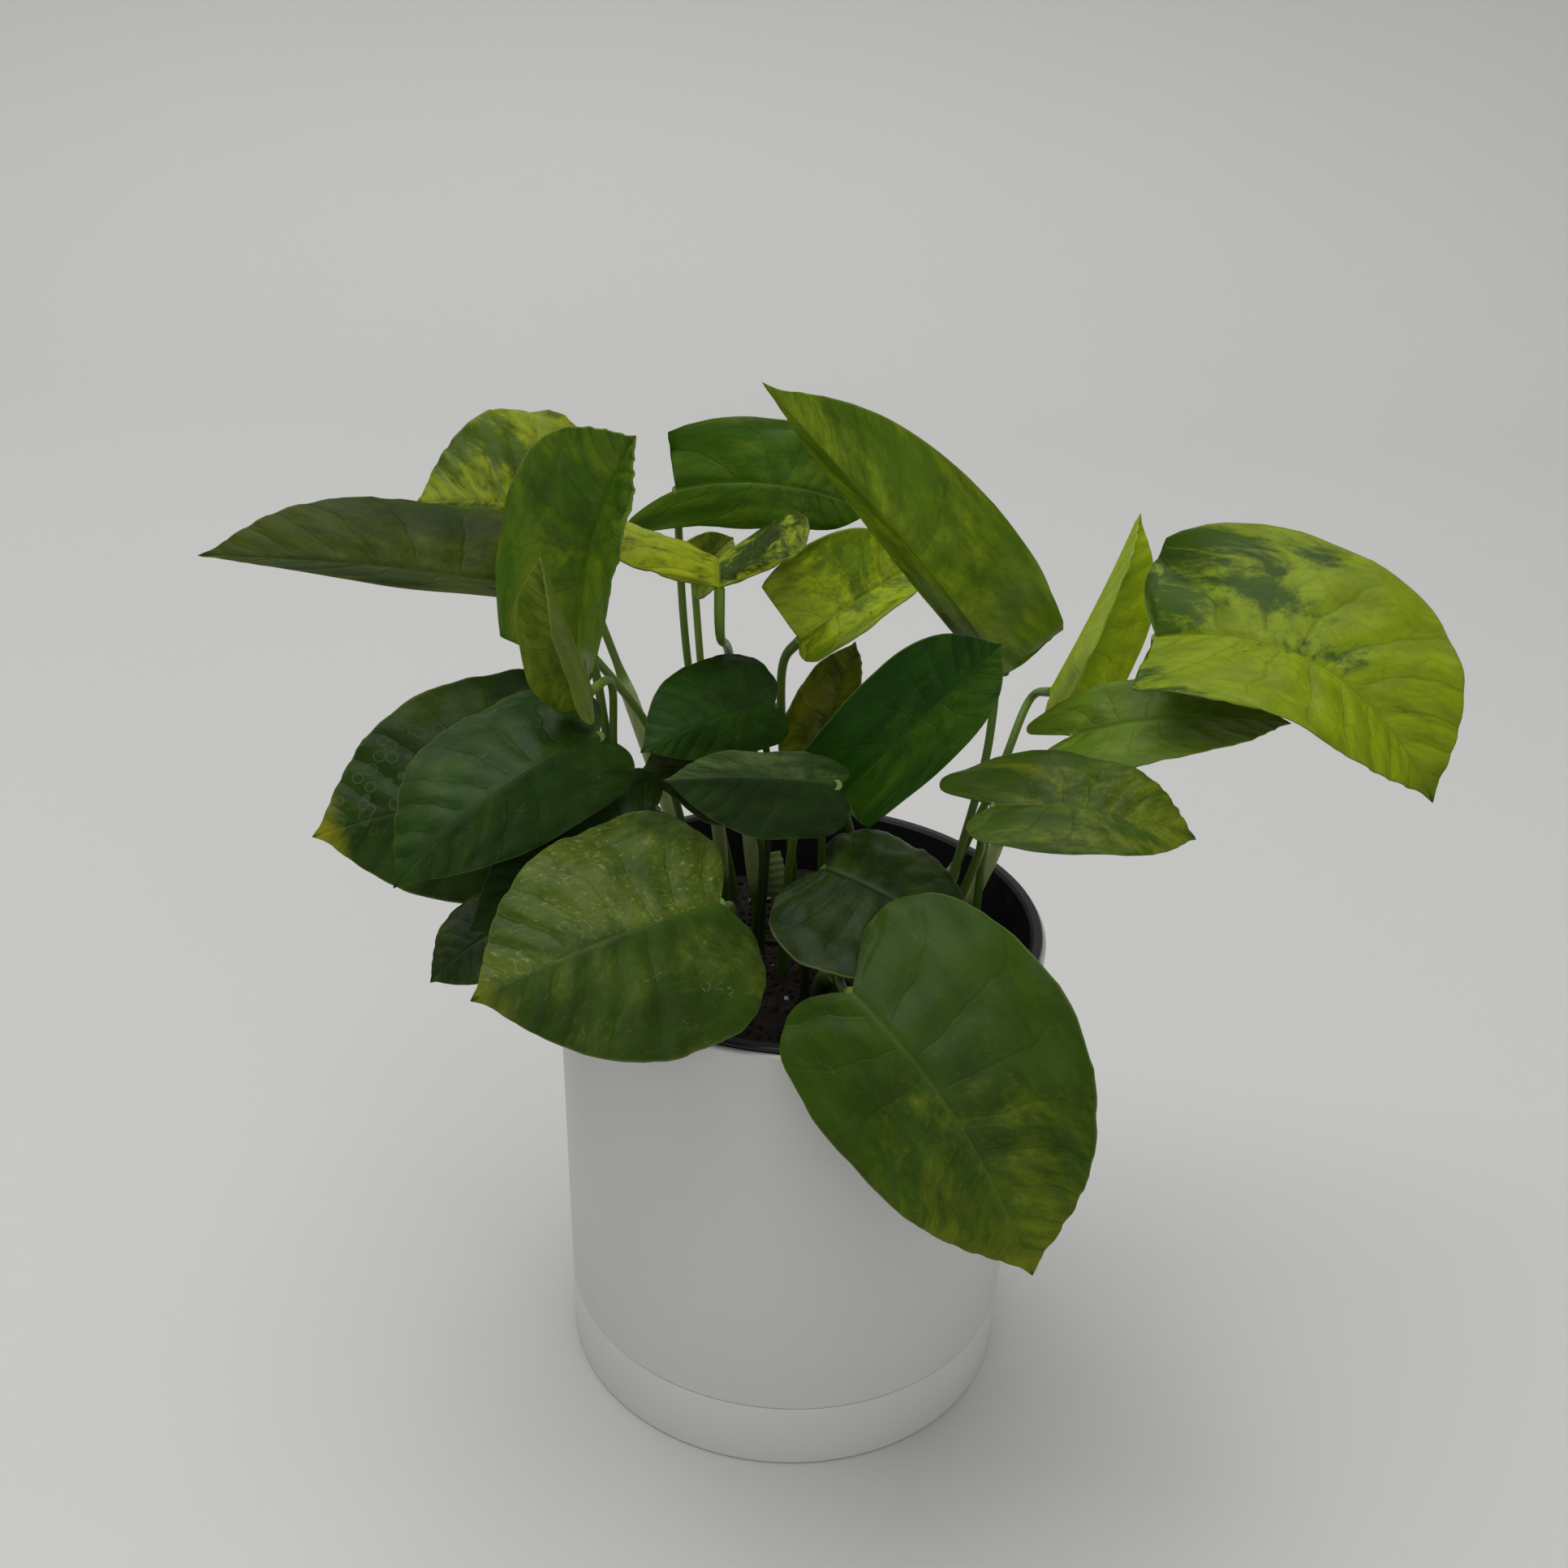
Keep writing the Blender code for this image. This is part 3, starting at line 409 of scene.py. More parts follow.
class Graph:
    """Makes the nodes of one tree."""

    def __init__(self, tree):
        self.tree = tree
        self.count = 0

    def node(self, kind, settings=None, inputs=None, output=0):
        made = self.tree.nodes.new(kind)
        made.location = (self.count % 12 * 180, -(self.count // 12) * 220)
        self.count += 1
        for name, value in (settings or {}).items():
            setattr(made, name, value)
        for key, value in (inputs or {}).items():
            socket = made.inputs[key]
            if isinstance(value, Wire):
                self.tree.links.new(value.socket, socket)
            elif socket.type == "RGBA":
                socket.default_value = (*value[:3], 1.0)
            else:
                socket.default_value = value
        return Wire(self, made.outputs[output])

    def math(self, operation, *values):
        return self.node("ShaderNodeMath", {"operation": operation},
                         dict(enumerate(values)))

    def vector(self, operation, *values):
        output = "Value" if operation in {"DOT_PRODUCT", "LENGTH"} else "Vector"
        return self.node("ShaderNodeVectorMath", {"operation": operation},
                         dict(enumerate(values)), output)

    def combine(self, x, y, z):
        return self.node("ShaderNodeCombineXYZ", None, {0: x, 1: y, 2: z})

    def separate(self, value):
        split = self.node("ShaderNodeSeparateXYZ", None, {0: value})
        return [Wire(self, output) for output in split.socket.node.outputs]

    def smooth(self, value, low, high, start=0.0, end=1.0):
        return self.node("ShaderNodeMapRange", {"interpolation_type": "SMOOTHSTEP"},
                         {0: value, 1: low, 2: high, 3: start, 4: end})

    def mix(self, share, first, second):
        return self.node("ShaderNodeMix", {"data_type": "FLOAT"},
                         {0: share, 2: first, 3: second}, 0)

    def blend(self, share, first, second):
        return self.node("ShaderNodeMix", {"data_type": "RGBA"},
                         {0: share, 6: first, 7: second}, 2)

    def noise(self, place, scale, detail=3.0, roughness=0.5, distortion=0.0):
        return self.node("ShaderNodeTexNoise", None,
                         {"Vector": place, "Scale": scale, "Detail": detail,
                          "Roughness": roughness, "Distortion": distortion})

    def cells(self, place, scale, feature="F1"):
        return self.node("ShaderNodeTexVoronoi", {"feature": feature},
                         {"Vector": place, "Scale": scale}, "Distance")

    def attribute(self, name, output="Vector"):
        return self.node("ShaderNodeAttribute", {"attribute_name": name}, None, output)

    def place(self):
        return self.node("ShaderNodeTexCoord", None, None, "Object")


def vein_swing(make, along):
    """How far a side vein runs on towards the tip by the margin; back round the lobes."""
    return make.node("ShaderNodeMapRange", None, {0: along, 1: -0.12, 2: 0.85, 3: -0.28, 4: 0.40})


class Finish(Graph):
    """A material in the making; done() joins its varying values to the shader."""

    def __init__(self, name):
        self.material = bpy.data.materials.new(name)
        self.material.use_nodes = True
        super().__init__(self.material.node_tree)
        self.shader = self.tree.nodes["Principled BSDF"]

    def done(self, color, roughness, height, relief, **constants):
        self.tree.links.new(color.socket, self.shader.inputs["Base Color"])
        if isinstance(roughness, Wire):
            self.tree.links.new(roughness.socket, self.shader.inputs["Roughness"])
        else:
            self.shader.inputs["Roughness"].default_value = roughness
        bump = self.node("ShaderNodeBump", None,
                         {"Strength": 1.0, "Distance": relief, "Height": height})
        self.tree.links.new(bump.socket, self.shader.inputs["Normal"])
        for name, value in constants.items():
            self.shader.inputs[name.replace("_", " ")].default_value = value
        return self.material


class Shaper(Graph):
    """A Geometry Nodes tree with named inputs."""

    def __init__(self, name):
        super().__init__(bpy.data.node_groups.new(name, "GeometryNodeTree"))
        self.group = None

    def ports(self, numbers=(), vectors=(), wholes=()):
        face = self.tree.interface
        face.new_socket("Geometry", in_out="INPUT", socket_type="NodeSocketGeometry")
        for name in numbers:
            face.new_socket(name, in_out="INPUT", socket_type="NodeSocketFloat")
        for name in vectors:
            face.new_socket(name, in_out="INPUT", socket_type="NodeSocketVector")
        for name in wholes:
            face.new_socket(name, in_out="INPUT", socket_type="NodeSocketInt")
        face.new_socket("Material", in_out="INPUT", socket_type="NodeSocketMaterial")
        face.new_socket("Geometry", in_out="OUTPUT", socket_type="NodeSocketGeometry")
        self.group = self.tree.nodes.new("NodeGroupInput")

    def port(self, name):
        return Wire(self, self.group.outputs[name])

    def end(self, geometry):
        plain = self.node("GeometryNodeRealizeInstances", None, {0: geometry})
        coated = self.node("GeometryNodeSetMaterial", None,
                           {"Geometry": plain, "Material": self.port("Material")})
        out = self.tree.nodes.new("NodeGroupOutput")
        self.tree.links.new(coated.socket, out.inputs[0])
        return self.tree


def grow(tree, source, name, values):
    """Runs a Geometry Nodes tree over a mesh once and returns the result as a plain piece."""
    base = bpy.data.objects.new(name + "_source", source)
    bpy.context.scene.collection.objects.link(base)
    modifier = base.modifiers.new("shape", "NODES")
    modifier.node_group = tree
    for item in tree.interface.items_tree:
        if item.item_type == "SOCKET" and item.in_out == "INPUT" and item.name in values:
            modifier[item.identifier] = values[item.name]
    base.update_tag()
    bpy.context.view_layer.update()
    evaluated = base.evaluated_get(bpy.context.evaluated_depsgraph_get())
    mesh = bpy.data.meshes.new_from_object(evaluated)
    bpy.data.objects.remove(base, do_unlink=True)
    if not len(mesh.polygons):
        raise RuntimeError(f"{name} came out empty")
    mesh.name = name
    return show(name, mesh)


def show(name, mesh):
    piece = bpy.data.objects.new(name, mesh)
    bpy.context.scene.collection.objects.link(piece)
    return piece


def settle(piece, slot, *nodes):
    """The piece belongs to the plant's one body, in place of the frame's plain solids."""
    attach(piece, "root")
    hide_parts(*nodes)


# ---------------------------------------------------------------- finishes

def dim(color, share):
    """The colour at a share of its strength; a share above 1 brightens it."""
    return tuple(value * share for value in color)


def shell_finish(color):
    """White moulded plastic, satin, with a fine mould texture and faint handling marks."""
    make = Finish("white_plastic")
    place = make.place()
    cloud = make.noise(place, 9.0, 4.0)
    marks = make.smooth(make.noise(place * (1.0, 1.0, 0.35), 55.0, 6.0, 0.65), 0.62, 0.78)
    grain = make.noise(place, 2600.0, 2.0)
    tone = make.blend(cloud, dim(color, 0.97), color)
    tone = make.blend(marks * 0.10, tone, (0.40, 0.40, 0.385))
    return make.done(tone, 0.40 + cloud * 0.10 + marks * 0.12, grain + marks * 0.3, 0.00004,
                     Specular_IOR_Level=0.45)


def liner_finish(color):
    """Black thin-walled plastic with fine vertical drawing lines and patches of dust."""
    make = Finish("black_plastic")
    place = make.place()
    dust = make.smooth(make.noise(place, 140.0, 5.0, 0.6), 0.55, 0.80)
    lines = make.noise(place * (1.0, 1.0, 0.02), 900.0, 2.0)
    tone = make.blend(dust * 0.25, color, (0.055, 0.048, 0.040))
    return make.done(tone, 0.36 + dust * 0.3, lines + dust * 0.5, 0.00006,
                     Specular_IOR_Level=0.30)


def soil_finish(color):
    """Moist peat: near-black crumbs with browner fibres."""
    make = Finish("potting_soil")
    place = make.place()
    coarse = make.noise(place, 160.0, 6.0, 0.65)
    fine = make.noise(place, 900.0, 4.0, 0.6)
    tone = make.blend(make.smooth(coarse, 0.42, 0.68), color,
                      dim(color, 1.9))
    tone = make.blend(make.smooth(fine, 0.60, 0.75) * 0.6, tone, (0.050, 0.034, 0.020))
    return make.done(tone, 0.75 + fine * 0.2, coarse + fine * 0.4, 0.0008,
                     Specular_IOR_Level=0.20)


def chip_finish(name, low, high, rough):
    """Loose bits in the soil: bark, grit or dead root."""
    make = Finish(name)
    place = make.place()
    tone = make.blend(make.noise(place, 420.0, 4.0, 0.6), low, high)
    return make.done(tone, rough, make.noise(place, 1300.0, 3.0), 0.0003)


def stalk_finish(name, low, high, dry):
    """Leaf stalk or stem: long fibres, paler towards the blade, with drying flecks below."""
    make = Finish(name)
    place = make.place()
    share = make.attribute("share", "Fac")
    sheath = make.attribute("sheath", "Fac")
    fibre = make.noise(place * (1.0, 1.0, 0.06), 900.0, 3.0, 0.6)
    cloud = make.noise(place, 60.0, 3.0)
    tone = make.blend(make.smooth(share + (cloud - 0.5) * 0.5, 0.05, 0.95), low, high)
    tone = make.blend(make.smooth(sheath, 0.25, 0.75) * 0.75, tone, (0.40, 0.48, 0.20))
    flecks = make.smooth(make.noise(place * (1.0, 1.0, 0.3), 260.0, 4.0, 0.7), 0.66, 0.76)
    tone = make.blend(flecks * (1.0 - share) * 0.8, tone, dry)
    tone = make.blend(make.smooth(fibre, 0.35, 0.75) * 0.22, tone, dim(low, 0.5))
    return make.done(tone, 0.36 + fibre * 0.14, fibre + flecks * 0.5, 0.00012,
                     Specular_IOR_Level=0.25)


def leaf_seed(row):
    return float(int(row.name)) * SEED_STEP


def leaf_finish(row, colors, veins):
    """One blade: two greens that streak along the side veins, darker side veins, a pale midrib
    with painted shade down its sunken centre line, and a pale margin."""
    make = Finish(f"blade_{row.name}")
    seed = leaf_seed(row)
    across, along, layer = make.separate(make.attribute("blade"))
    reach = make.attribute("reach", "Fac")
    side = make.math("GREATER_THAN", across, 0.0)
    away = make.math("ABSOLUTE", across)
    wander = make.noise(make.combine(across * 1.6, along * 2.2, seed), 1.6, 2.0)
    vein = along - away * vein_swing(make, along) + (wander - 0.5) * 0.07

    # greens, streaked along the side veins
    slow = make.noise(make.combine(away * 1.3 + side * 9.0, vein * 2.6, seed), 1.5, 3.0, 0.6)
    streak = make.noise(make.combine(away * 2.4 + side * 5.0, vein * 11.0, seed + 4.0), 1.5,
                        5.0, 0.68)
    fine = make.noise(make.combine(away * 13.0 + side * 5.0, vein * 34.0, seed + 8.0), 1.6,
                      4.0, 0.65)
    pull = (side * 2.0 - 1.0) * (0.30 * colors.lean) + (along - 0.45) * (0.8 * colors.reach)
    field = slow * 0.58 + streak * 0.27 + fine * 0.15 + pull * 0.5
    cut = 0.68 - 0.36 * colors.share
    soft = 0.14 - 0.125 * colors.sharp
    pale = make.smooth(field, cut - soft, cut + soft)
    broad = make.noise(make.combine(across * 1.5, along * 1.7, seed + 2.0), 1.6, 4.0, 0.6)
    deep = make.blend(make.smooth(broad, 0.30, 0.70), dim(colors.deep, 0.70),
                      dim(colors.deep, 1.25))
    light = make.blend(make.smooth(streak, 0.34, 0.66), dim(colors.pale, 0.80),
                       dim(colors.pale, 1.15))
    net = make.cells(make.combine(away * 1.6 + side * 3.0, vein * 4.5, seed), 3.2,
                     "DISTANCE_TO_EDGE")
    light = make.blend(make.smooth(net, 0.0, 0.09, 0.55, 0.0) * streak, light,
                       dim(colors.pale, 0.62))
    tone = make.blend(pale, deep, light)
    tone = make.blend(make.smooth(fine, 0.52, 0.74) * 0.35, tone,
                      tuple((a + b) / 2 for a, b in zip(colors.deep, colors.pale)))

    # side veins, midrib with painted shade down its sunken centre, and margin
    beat = make.math("FRACT", vein * veins + side * 0.5)
    near = make.math("ABSOLUTE", beat - 0.5) * 2.0
    side_vein = make.smooth(near, 0.88, 1.0) * make.smooth(away, 0.02, 0.10)
    side_vein = side_vein * make.smooth(away, 0.6, 1.0, 1.0, 0.25)
    half = side * row.half[1] + (1.0 - side) * row.half[0]
    off = away * half
    taper = make.smooth(along, 0.0, 1.0, 1.0, 0.35)
    rib = make.smooth(off / taper, 0.15, 0.75, 1.0, 0.0)
    margin = make.smooth(reach, 0.975, 0.998)
    vein_tone = tuple(v * 1.25 + 0.012 for v in colors.pale)
    painted_groove_shade = make.smooth(off / taper, 0.05, 0.30, 1.0, 0.0)
    tone = make.blend(side_vein * 0.22, tone, dim(colors.deep, 0.6))
    tone = make.blend(rib * 0.30, tone, vein_tone)
    # painted shade: the midrib's sunken centre line is darkened as if shade lay in it
    tone = make.blend(painted_groove_shade * 0.60, tone, dim(colors.deep, 0.5))
    tone = make.blend(margin * 0.50, tone, (0.16, 0.20, 0.05))
    rough = 0.30 + fine * 0.08 + wander * 0.12 - rib * 0.05

    # flecks, dried water rings, scratches and a turning tip, each only where a leaf has them
    if colors.speck:
        spots = make.smooth(make.noise(make.combine(across * 16.0, vein * 36.0, seed), 1.6, 5.0,
                                       0.7), 0.56, 0.66)
        zone = make.smooth(slow + pull, 0.42, 0.62)
        tone = make.blend(spots * zone * (0.75 * colors.speck), tone, (0.22, 0.25, 0.06))
    if colors.ring:
        centre = make.vector("SUBTRACT", make.combine(across, along, 0.0), (0.30, 0.52, 0.0))
        zone = make.smooth(make.vector("LENGTH", centre), 0.30, 0.62, 1.0, 0.0)
        cell = make.cells(make.combine(across * 1.1, along * 2.2, seed), 7.5)
        band = make.smooth(make.math("ABSOLUTE", cell - 0.36), 0.02, 0.075, 1.0, 0.0)
        tone = make.blend(band * zone * (0.55 * colors.ring), tone, (0.065, 0.105, 0.045))
        rough = rough + band * zone * 0.25
    if colors.scuff:
        ridge = make.noise(make.combine(across * 2.2, along * 2.6, seed + 1.0), 2.6, 2.0, 0.5,
                           0.6)
        line = make.smooth(make.math("ABSOLUTE", ridge - 0.53), 0.0015, 0.006, 1.0, 0.0)
        broken = make.smooth(make.noise(make.combine(across, along, seed + 5.0), 9.0, 4.0),
                             0.55, 0.63)
        tone = make.blend(line * broken * colors.scuff * 0.6, tone, (0.24, 0.29, 0.16))
    if colors.tip:
        end = make.smooth(along + (streak - 0.5) * 0.12, 0.86, 0.97)
        end_tone = (0.20, 0.20, 0.008) if colors.tip > 0 else dim(colors.deep, 0.8)
        tone = make.blend(end * abs(colors.tip), tone, end_tone)
    dry = make.smooth(along, 0.985, 1.0)
    tone = make.blend(dry * 0.8, tone, (0.07, 0.045, 0.015))

    # underside: duller, greyer and paler
    under = make.smooth(layer, -0.6, 0.1, 1.0, 0.0)
    grey = make.blend(0.62, tone, tuple(v * 0.55 + w for v, w in
                                        zip(colors.pale, (0.030, 0.045, 0.020))))
    grey = make.blend(side_vein * 0.30, grey, tuple(v * 0.6 + 0.02 for v in colors.pale))
    tone = make.blend(under, tone, grey)
    rough = rough + under * 0.16
    bumps = make.noise(make.combine(across * 9.0, along * 12.0, seed), 6.0, 4.0, 0.6)
    height = bumps * 0.35 - side_vein * 0.5 + fine * 0.25
    return make.done(tone, rough, height, 0.00022, Specular_IOR_Level=0.12)


# ---------------------------------------------------------------- leaf shape

def unit(vector):
    vector = np.asarray(vector, dtype=float)
    return vector / np.linalg.norm(vector)


def smooth_path(points, count):
    """Points at even steps along a centripetal Catmull-Rom curve through the given points."""
    points = [np.asarray(point, dtype=float) for point in points]
    ends = [2 * points[0] - points[1]] + points + [2 * points[-1] - points[-2]]
    knots = np.sqrt(np.linalg.norm(np.diff(ends, axis=0), axis=1))
    fine = []
    for index in range(1, len(ends) - 2):
        before, start, end, after = ends[index - 1:index + 3]
        first, middle, last = knots[index - 1:index + 2]
        step = end - start
        leave = step + middle * ((start - before) / first - (end - before) / (first + middle))
        reach = step + middle * ((after - end) / last - (after - start) / (middle + last))
        for t in np.arange(CURVE_STEPS) / CURVE_STEPS:
            fine.append(start + leave * t + (3 * step - 2 * leave - reach) * t * t
                        + (leave + reach - 2 * step) * t ** 3)
    fine.append(points[-1])
    fine = np.array(fine)
    run = np.concatenate([[0], np.cumsum(np.linalg.norm(np.diff(fine, axis=0), axis=1))])
    steps = np.linspace(0, run[-1], count)
    return np.stack([np.interp(steps, run, fine[:, axis]) for axis in range(fine.shape[1])], 1)


def flat_blade(rows, lobe_rows, columns):
    """Closed flat shell of a blade: X across in half-widths, Y along in lengths, Z the layer,
    1 above, -1 below and 0 at the margin. Point attributes keep it for the materials, with
    each point's reach from midrib to margin."""
    outline = smooth_path(HALF_OUTLINE, OUTLINE_STEPS)
    turn = next(index for index, point in enumerate(outline) if point[0] > LOBE_TURN)
    last = len(outline) - 1
    lines = []
    for row in range(1, lobe_rows + 1):
        lines.append((outline[round(turn * row / (lobe_rows + 1))], 0.0, 1.0))
    for row in range(rows):
        share = row / rows
        lines.append((outline[round(turn + (last - turn) * share)],
                      share ** ROW_EASE * ROW_LAST, ROW_BOW))
    vertices = []
    reach = []
    names = {}

    def vertex(across, along, layer, out):
        key = (round(across, 6), round(along, 6), layer)
        if key not in names:
            names[key] = len(vertices)
            vertices.append((across, along, layer))
            reach.append(out)
        return names[key]

    faces = []
    for layer in (1, -1):
        for side in (1, -1):
            grid = []
            for number, (end, start, bow) in enumerate(lines):
                line = []
                for column in range(columns + 1):
                    part = 0.5 - 0.5 * math.cos(math.pi * column / columns)
                    open_edge = column == columns or (number == 0 and column)
                    line.append(vertex(side * end[0] * part if column else 0.0,
                                       start + (end[1] - start) * part ** bow,
                                       0 if open_edge else layer,
                                       1.0 if open_edge else part))
                grid.append(line)
            grid.append([vertex(0.0, 1.0, 0, 1.0)] * (columns + 1))
            for lower, upper in zip(grid[:-1], grid[1:]):
                for column in range(columns):
                    corners = [lower[column], lower[column + 1],
                               upper[column + 1], upper[column]]
                    corners = [corner for spot, corner in enumerate(corners)
                               if corner != corners[spot - 1]]
                    if len(set(corners)) > 2:
                        faces.append(corners if side * layer > 0 else corners[::-1])
    mesh = bpy.data.meshes.new("flat_blade")
    mesh.from_pydata(vertices, [], faces)
    mesh.attributes.new("blade", "FLOAT_VECTOR", "POINT").data.foreach_set(
        "vector", np.array(vertices, dtype=np.float32).ravel())
    mesh.attributes.new("reach", "FLOAT", "POINT").data.foreach_set(
        "value", np.array(reach, dtype=np.float32))
    mesh.shade_smooth()
    return mesh


def blade_tree():
    """Bends the flat blade onto its arched, folded and curled place."""
    make = Shaper("Leaf blade")
    pairs = ["Half", "Fold", "Curl", "Lobe"]
    make.ports(numbers=[f"{name} {hand}" for name in pairs for hand in ("Left", "Right")]
               + ["Arch", "Sweep", "Swell", "Thickness", "Vein Depth", "Vein Count", "Seed"],
               vectors=["Base", "Tip", "Face"])
    across, flat, layer = make.separate(make.node("GeometryNodeInputPosition"))
    side = across > 0.0
    sign = side * 2.0 - 1.0
    away = make.math("ABSOLUTE", across)

    def hand(name):
        return make.mix(side, make.port(name + " Left"), make.port(name + " Right"))

    ahead = make.math("MAXIMUM", flat, 0.0) ** make.port("Swell")
    along = ahead + make.math("MINIMUM", flat, 0.0) * hand("Lobe")
    base = make.port("Base")
    chord = make.port("Tip") - base
    line = make.vector("NORMALIZE", chord)
    face = make.port("Face")
    normal = make.vector("NORMALIZE", face - line * make.vector("DOT_PRODUCT", face, line))
    right = make.vector("CROSS_PRODUCT", line, normal)
    bow = normal * make.port("Arch") + right * make.port("Sweep")
    spine = base + chord * along + bow * (along * (1.0 - along) * 4.0)
    tangent = make.vector("NORMALIZE", chord + bow * ((1.0 - along * 2.0) * 4.0))
    upright = make.vector("NORMALIZE",
                          normal - tangent * make.vector("DOT_PRODUCT", normal, tangent))
    outward = make.vector("CROSS_PRODUCT", tangent, upright) * sign

    # each half bends from its fold by its curl, as one even arc
    fold = hand("Fold")
    curl = hand("Curl")
    curl = curl + (make.math("ABSOLUTE", curl) < 0.001) * 0.002
    angle = fold + curl * away
    out = (make.math("SINE", angle) - make.math("SINE", fold)) / curl
    rise = (make.math("COSINE", fold) - make.math("COSINE", angle)) / curl
    half = hand("Half")
    phase = make.mix(side, 0.4, 2.0)
    ripple = away * away * make.math("SINE", along * 9.0 + phase) * RIPPLE
    skin = upright * make.math("COSINE", angle) - outward * make.math("SINE", angle)

    # sunken side veins and midrib, swollen rib below, and a little unevenness
    seed = make.port("Seed")
    wander = make.noise(make.combine(across * 1.6, flat * 2.2, seed), 1.6, 2.0)
    vein = flat - away * vein_swing(make, flat) + (wander - 0.5) * 0.07
    beat = make.math("COSINE", (vein * make.port("Vein Count") + side * 0.5) * (2 * math.pi))
    pillow = (make.smooth(beat, -0.2, 1.0) * make.smooth(away, 0.03, 0.15)
              * make.smooth(away, 0.50, 0.92, 1.0, 0.0)
              * make.smooth(half, 0.008, 0.040, 0.1, 1.0))
    off = away * half / MM
    taper = make.smooth(flat, 0.0, 1.0, 1.0, 0.35)
    rib = make.smooth(off / taper, 0.1, 1.5, 1.0, 0.0) * taper
    below = layer < 0.0
    uneven = make.noise(make.combine(across * 1.5, flat * 2.4, seed + 11.0), 1.7, 3.0, 0.55) - 0.5
    lift = (pillow * -1.0 * make.port("Vein Depth") - rib * RIB_SINK
            - rib * below * RIB_SWELL + uneven * away * half * UNEVEN)
    lift = lift + layer * make.port("Thickness") * 0.5
    spot = spine + outward * (out * half) + upright * (rise * half + ripple) + skin * lift
    moved = make.node("GeometryNodeSetPosition", None,
                      {"Geometry": make.port("Geometry"), "Position": spot})
    return make.end(moved)


def midrib_frame(row, along):
    """Point, tangent, right-hand side and normal of the midrib at a share of its length."""
    base = np.array(row.base, dtype=float)
    tip = np.array(row.tip, dtype=float)
    chord = unit(tip - base)
    normal = unit(np.array(row.face, dtype=float) - chord * np.dot(row.face, chord))
    right = np.cross(chord, normal)
    bow = normal * row.arch + right * row.sweep
    point = base + (tip - base) * along + bow * 4 * along * (1 - along)
    tangent = unit(tip - base + bow * 4 * (1 - 2 * along))
    normal = unit(normal - tangent * np.dot(normal, tangent))
    return point, tangent, np.cross(tangent, normal), normal


def soil_height(x, y):
    """Height of the soil's top at a place."""
    return (SOIL_TOP + SOIL_BUMP * math.sin(x * SOIL_WAVE[0] + SOIL_PHASE)
            * math.cos(y * SOIL_WAVE[1]))


def soil_seat(foot):
    """Where a stem's centre line starts below the soil, in millimetres."""
    return np.array((foot[0], foot[1],
                     (soil_height(foot[0] * MM, foot[1] * MM) - SEAT_SINK) / MM))


def stalk_points(row):
    """Centre line of a leaf stalk in millimetres, from the soil to its blade."""
    _, tangent, right, normal = midrib_frame(row, 0.0)
    hang = (min(0, row.fold[1]) - min(0, row.fold[0])) / 90
    back = unit(STALK_ASIDE * hang * right - STALK_BACK * tangent - STALK_BELOW * normal)
    base = np.array(row.base, dtype=float)
    foot = soil_seat(row.foot)
    path = [foot, foot + (0, 0, STALK_RISE)] + list(row.via)
    path += [base + back * STALK_APPROACH, base - normal * STALK_END_DEPTH]
    return smooth_path(path, STALK_STEPS)


# ---------------------------------------------------------------- stalks and stems

def line_mesh(points):
    mesh = bpy.data.meshes.new("line")
    mesh.from_pydata([tuple(point) for point in points],
                     [(index, index + 1) for index in range(len(points) - 1)], [])
    return mesh


def stalk_tree():
    """Round stalk along a line: stout at the soil, slim in the middle, swollen at the blade,
    with a winged sheath up to a share of its length."""
    make = Shaper("Stalk")
    make.ports(numbers=["Radius", "Foot", "Knee", "Sheath End", "Sheath Width", "Knots"],
               wholes=["Sides"])
    curve = make.node("GeometryNodeMeshToCurve", None, {0: make.port("Geometry")})
    share = make.node("GeometryNodeSplineParameter")
    radius = make.port("Radius")
    sheath_end = make.port("Sheath End")
    sheath = (make.smooth(share, sheath_end - 0.10, sheath_end, 1.0, 0.0)
              * make.smooth(share, 0.05, 0.22) * make.math("GREATER_THAN", sheath_end, 0.01))
    foot = make.smooth(share, 0.0, 0.22, 1.0, 0.0) * make.port("Foot")
    knee = make.smooth(share, 0.88, 0.97) * make.port("Knee")
    ring = make.math("SINE", share * 34.0) ** 4.0 * make.port("Knots")
    girth = radius * (1.0 + foot + knee + ring + sheath * make.port("Sheath Width"))
    curve = make.node("GeometryNodeStoreNamedAttribute", {"domain": "POINT"},
                      {"Geometry": curve, "Name": "share", "Value": share})
    curve = make.node("GeometryNodeStoreNamedAttribute", {"domain": "POINT"},
                      {"Geometry": curve, "Name": "sheath", "Value": sheath})
    circle = make.node("GeometryNodeCurvePrimitiveCircle", None,
                       {"Resolution": make.port("Sides"), "Radius": 1.0})
    tube = make.node("GeometryNodeCurveToMesh", None,
                     {"Curve": curve, "Profile Curve": circle, "Scale": girth,
                      "Fill Caps": True})
    smooth = make.node("GeometryNodeSetShadeSmooth", None, {"Geometry": tube})
    return make.end(smooth)


# ---------------------------------------------------------------- pot

def outer_radius(height):
    return BASE_RADIUS + (RIM_RADIUS - BASE_RADIUS) * height / TOTAL_HEIGHT


def planter_inner_radius(height):
    return outer_radius(height) - PLANTER_WALL


def nursery_radius(height):
    share = (height - NURSERY_UNDERSIDE) / (LIP_UNDERSIDE - NURSERY_UNDERSIDE)
    return NURSERY_BASE_RADIUS + (NURSERY_TOP_RADIUS - NURSERY_BASE_RADIUS) * share


def arc(centre, radius, start_deg, end_deg, steps=6):
    """Points along a quarter round in a profile."""
    points = []
    for step in range(steps + 1):
        angle = math.radians(start_deg + (end_deg - start_deg) * step / steps)
        points.append((centre[0] + radius * math.cos(angle),
                       centre[1] + radius * math.sin(angle)))
    return points


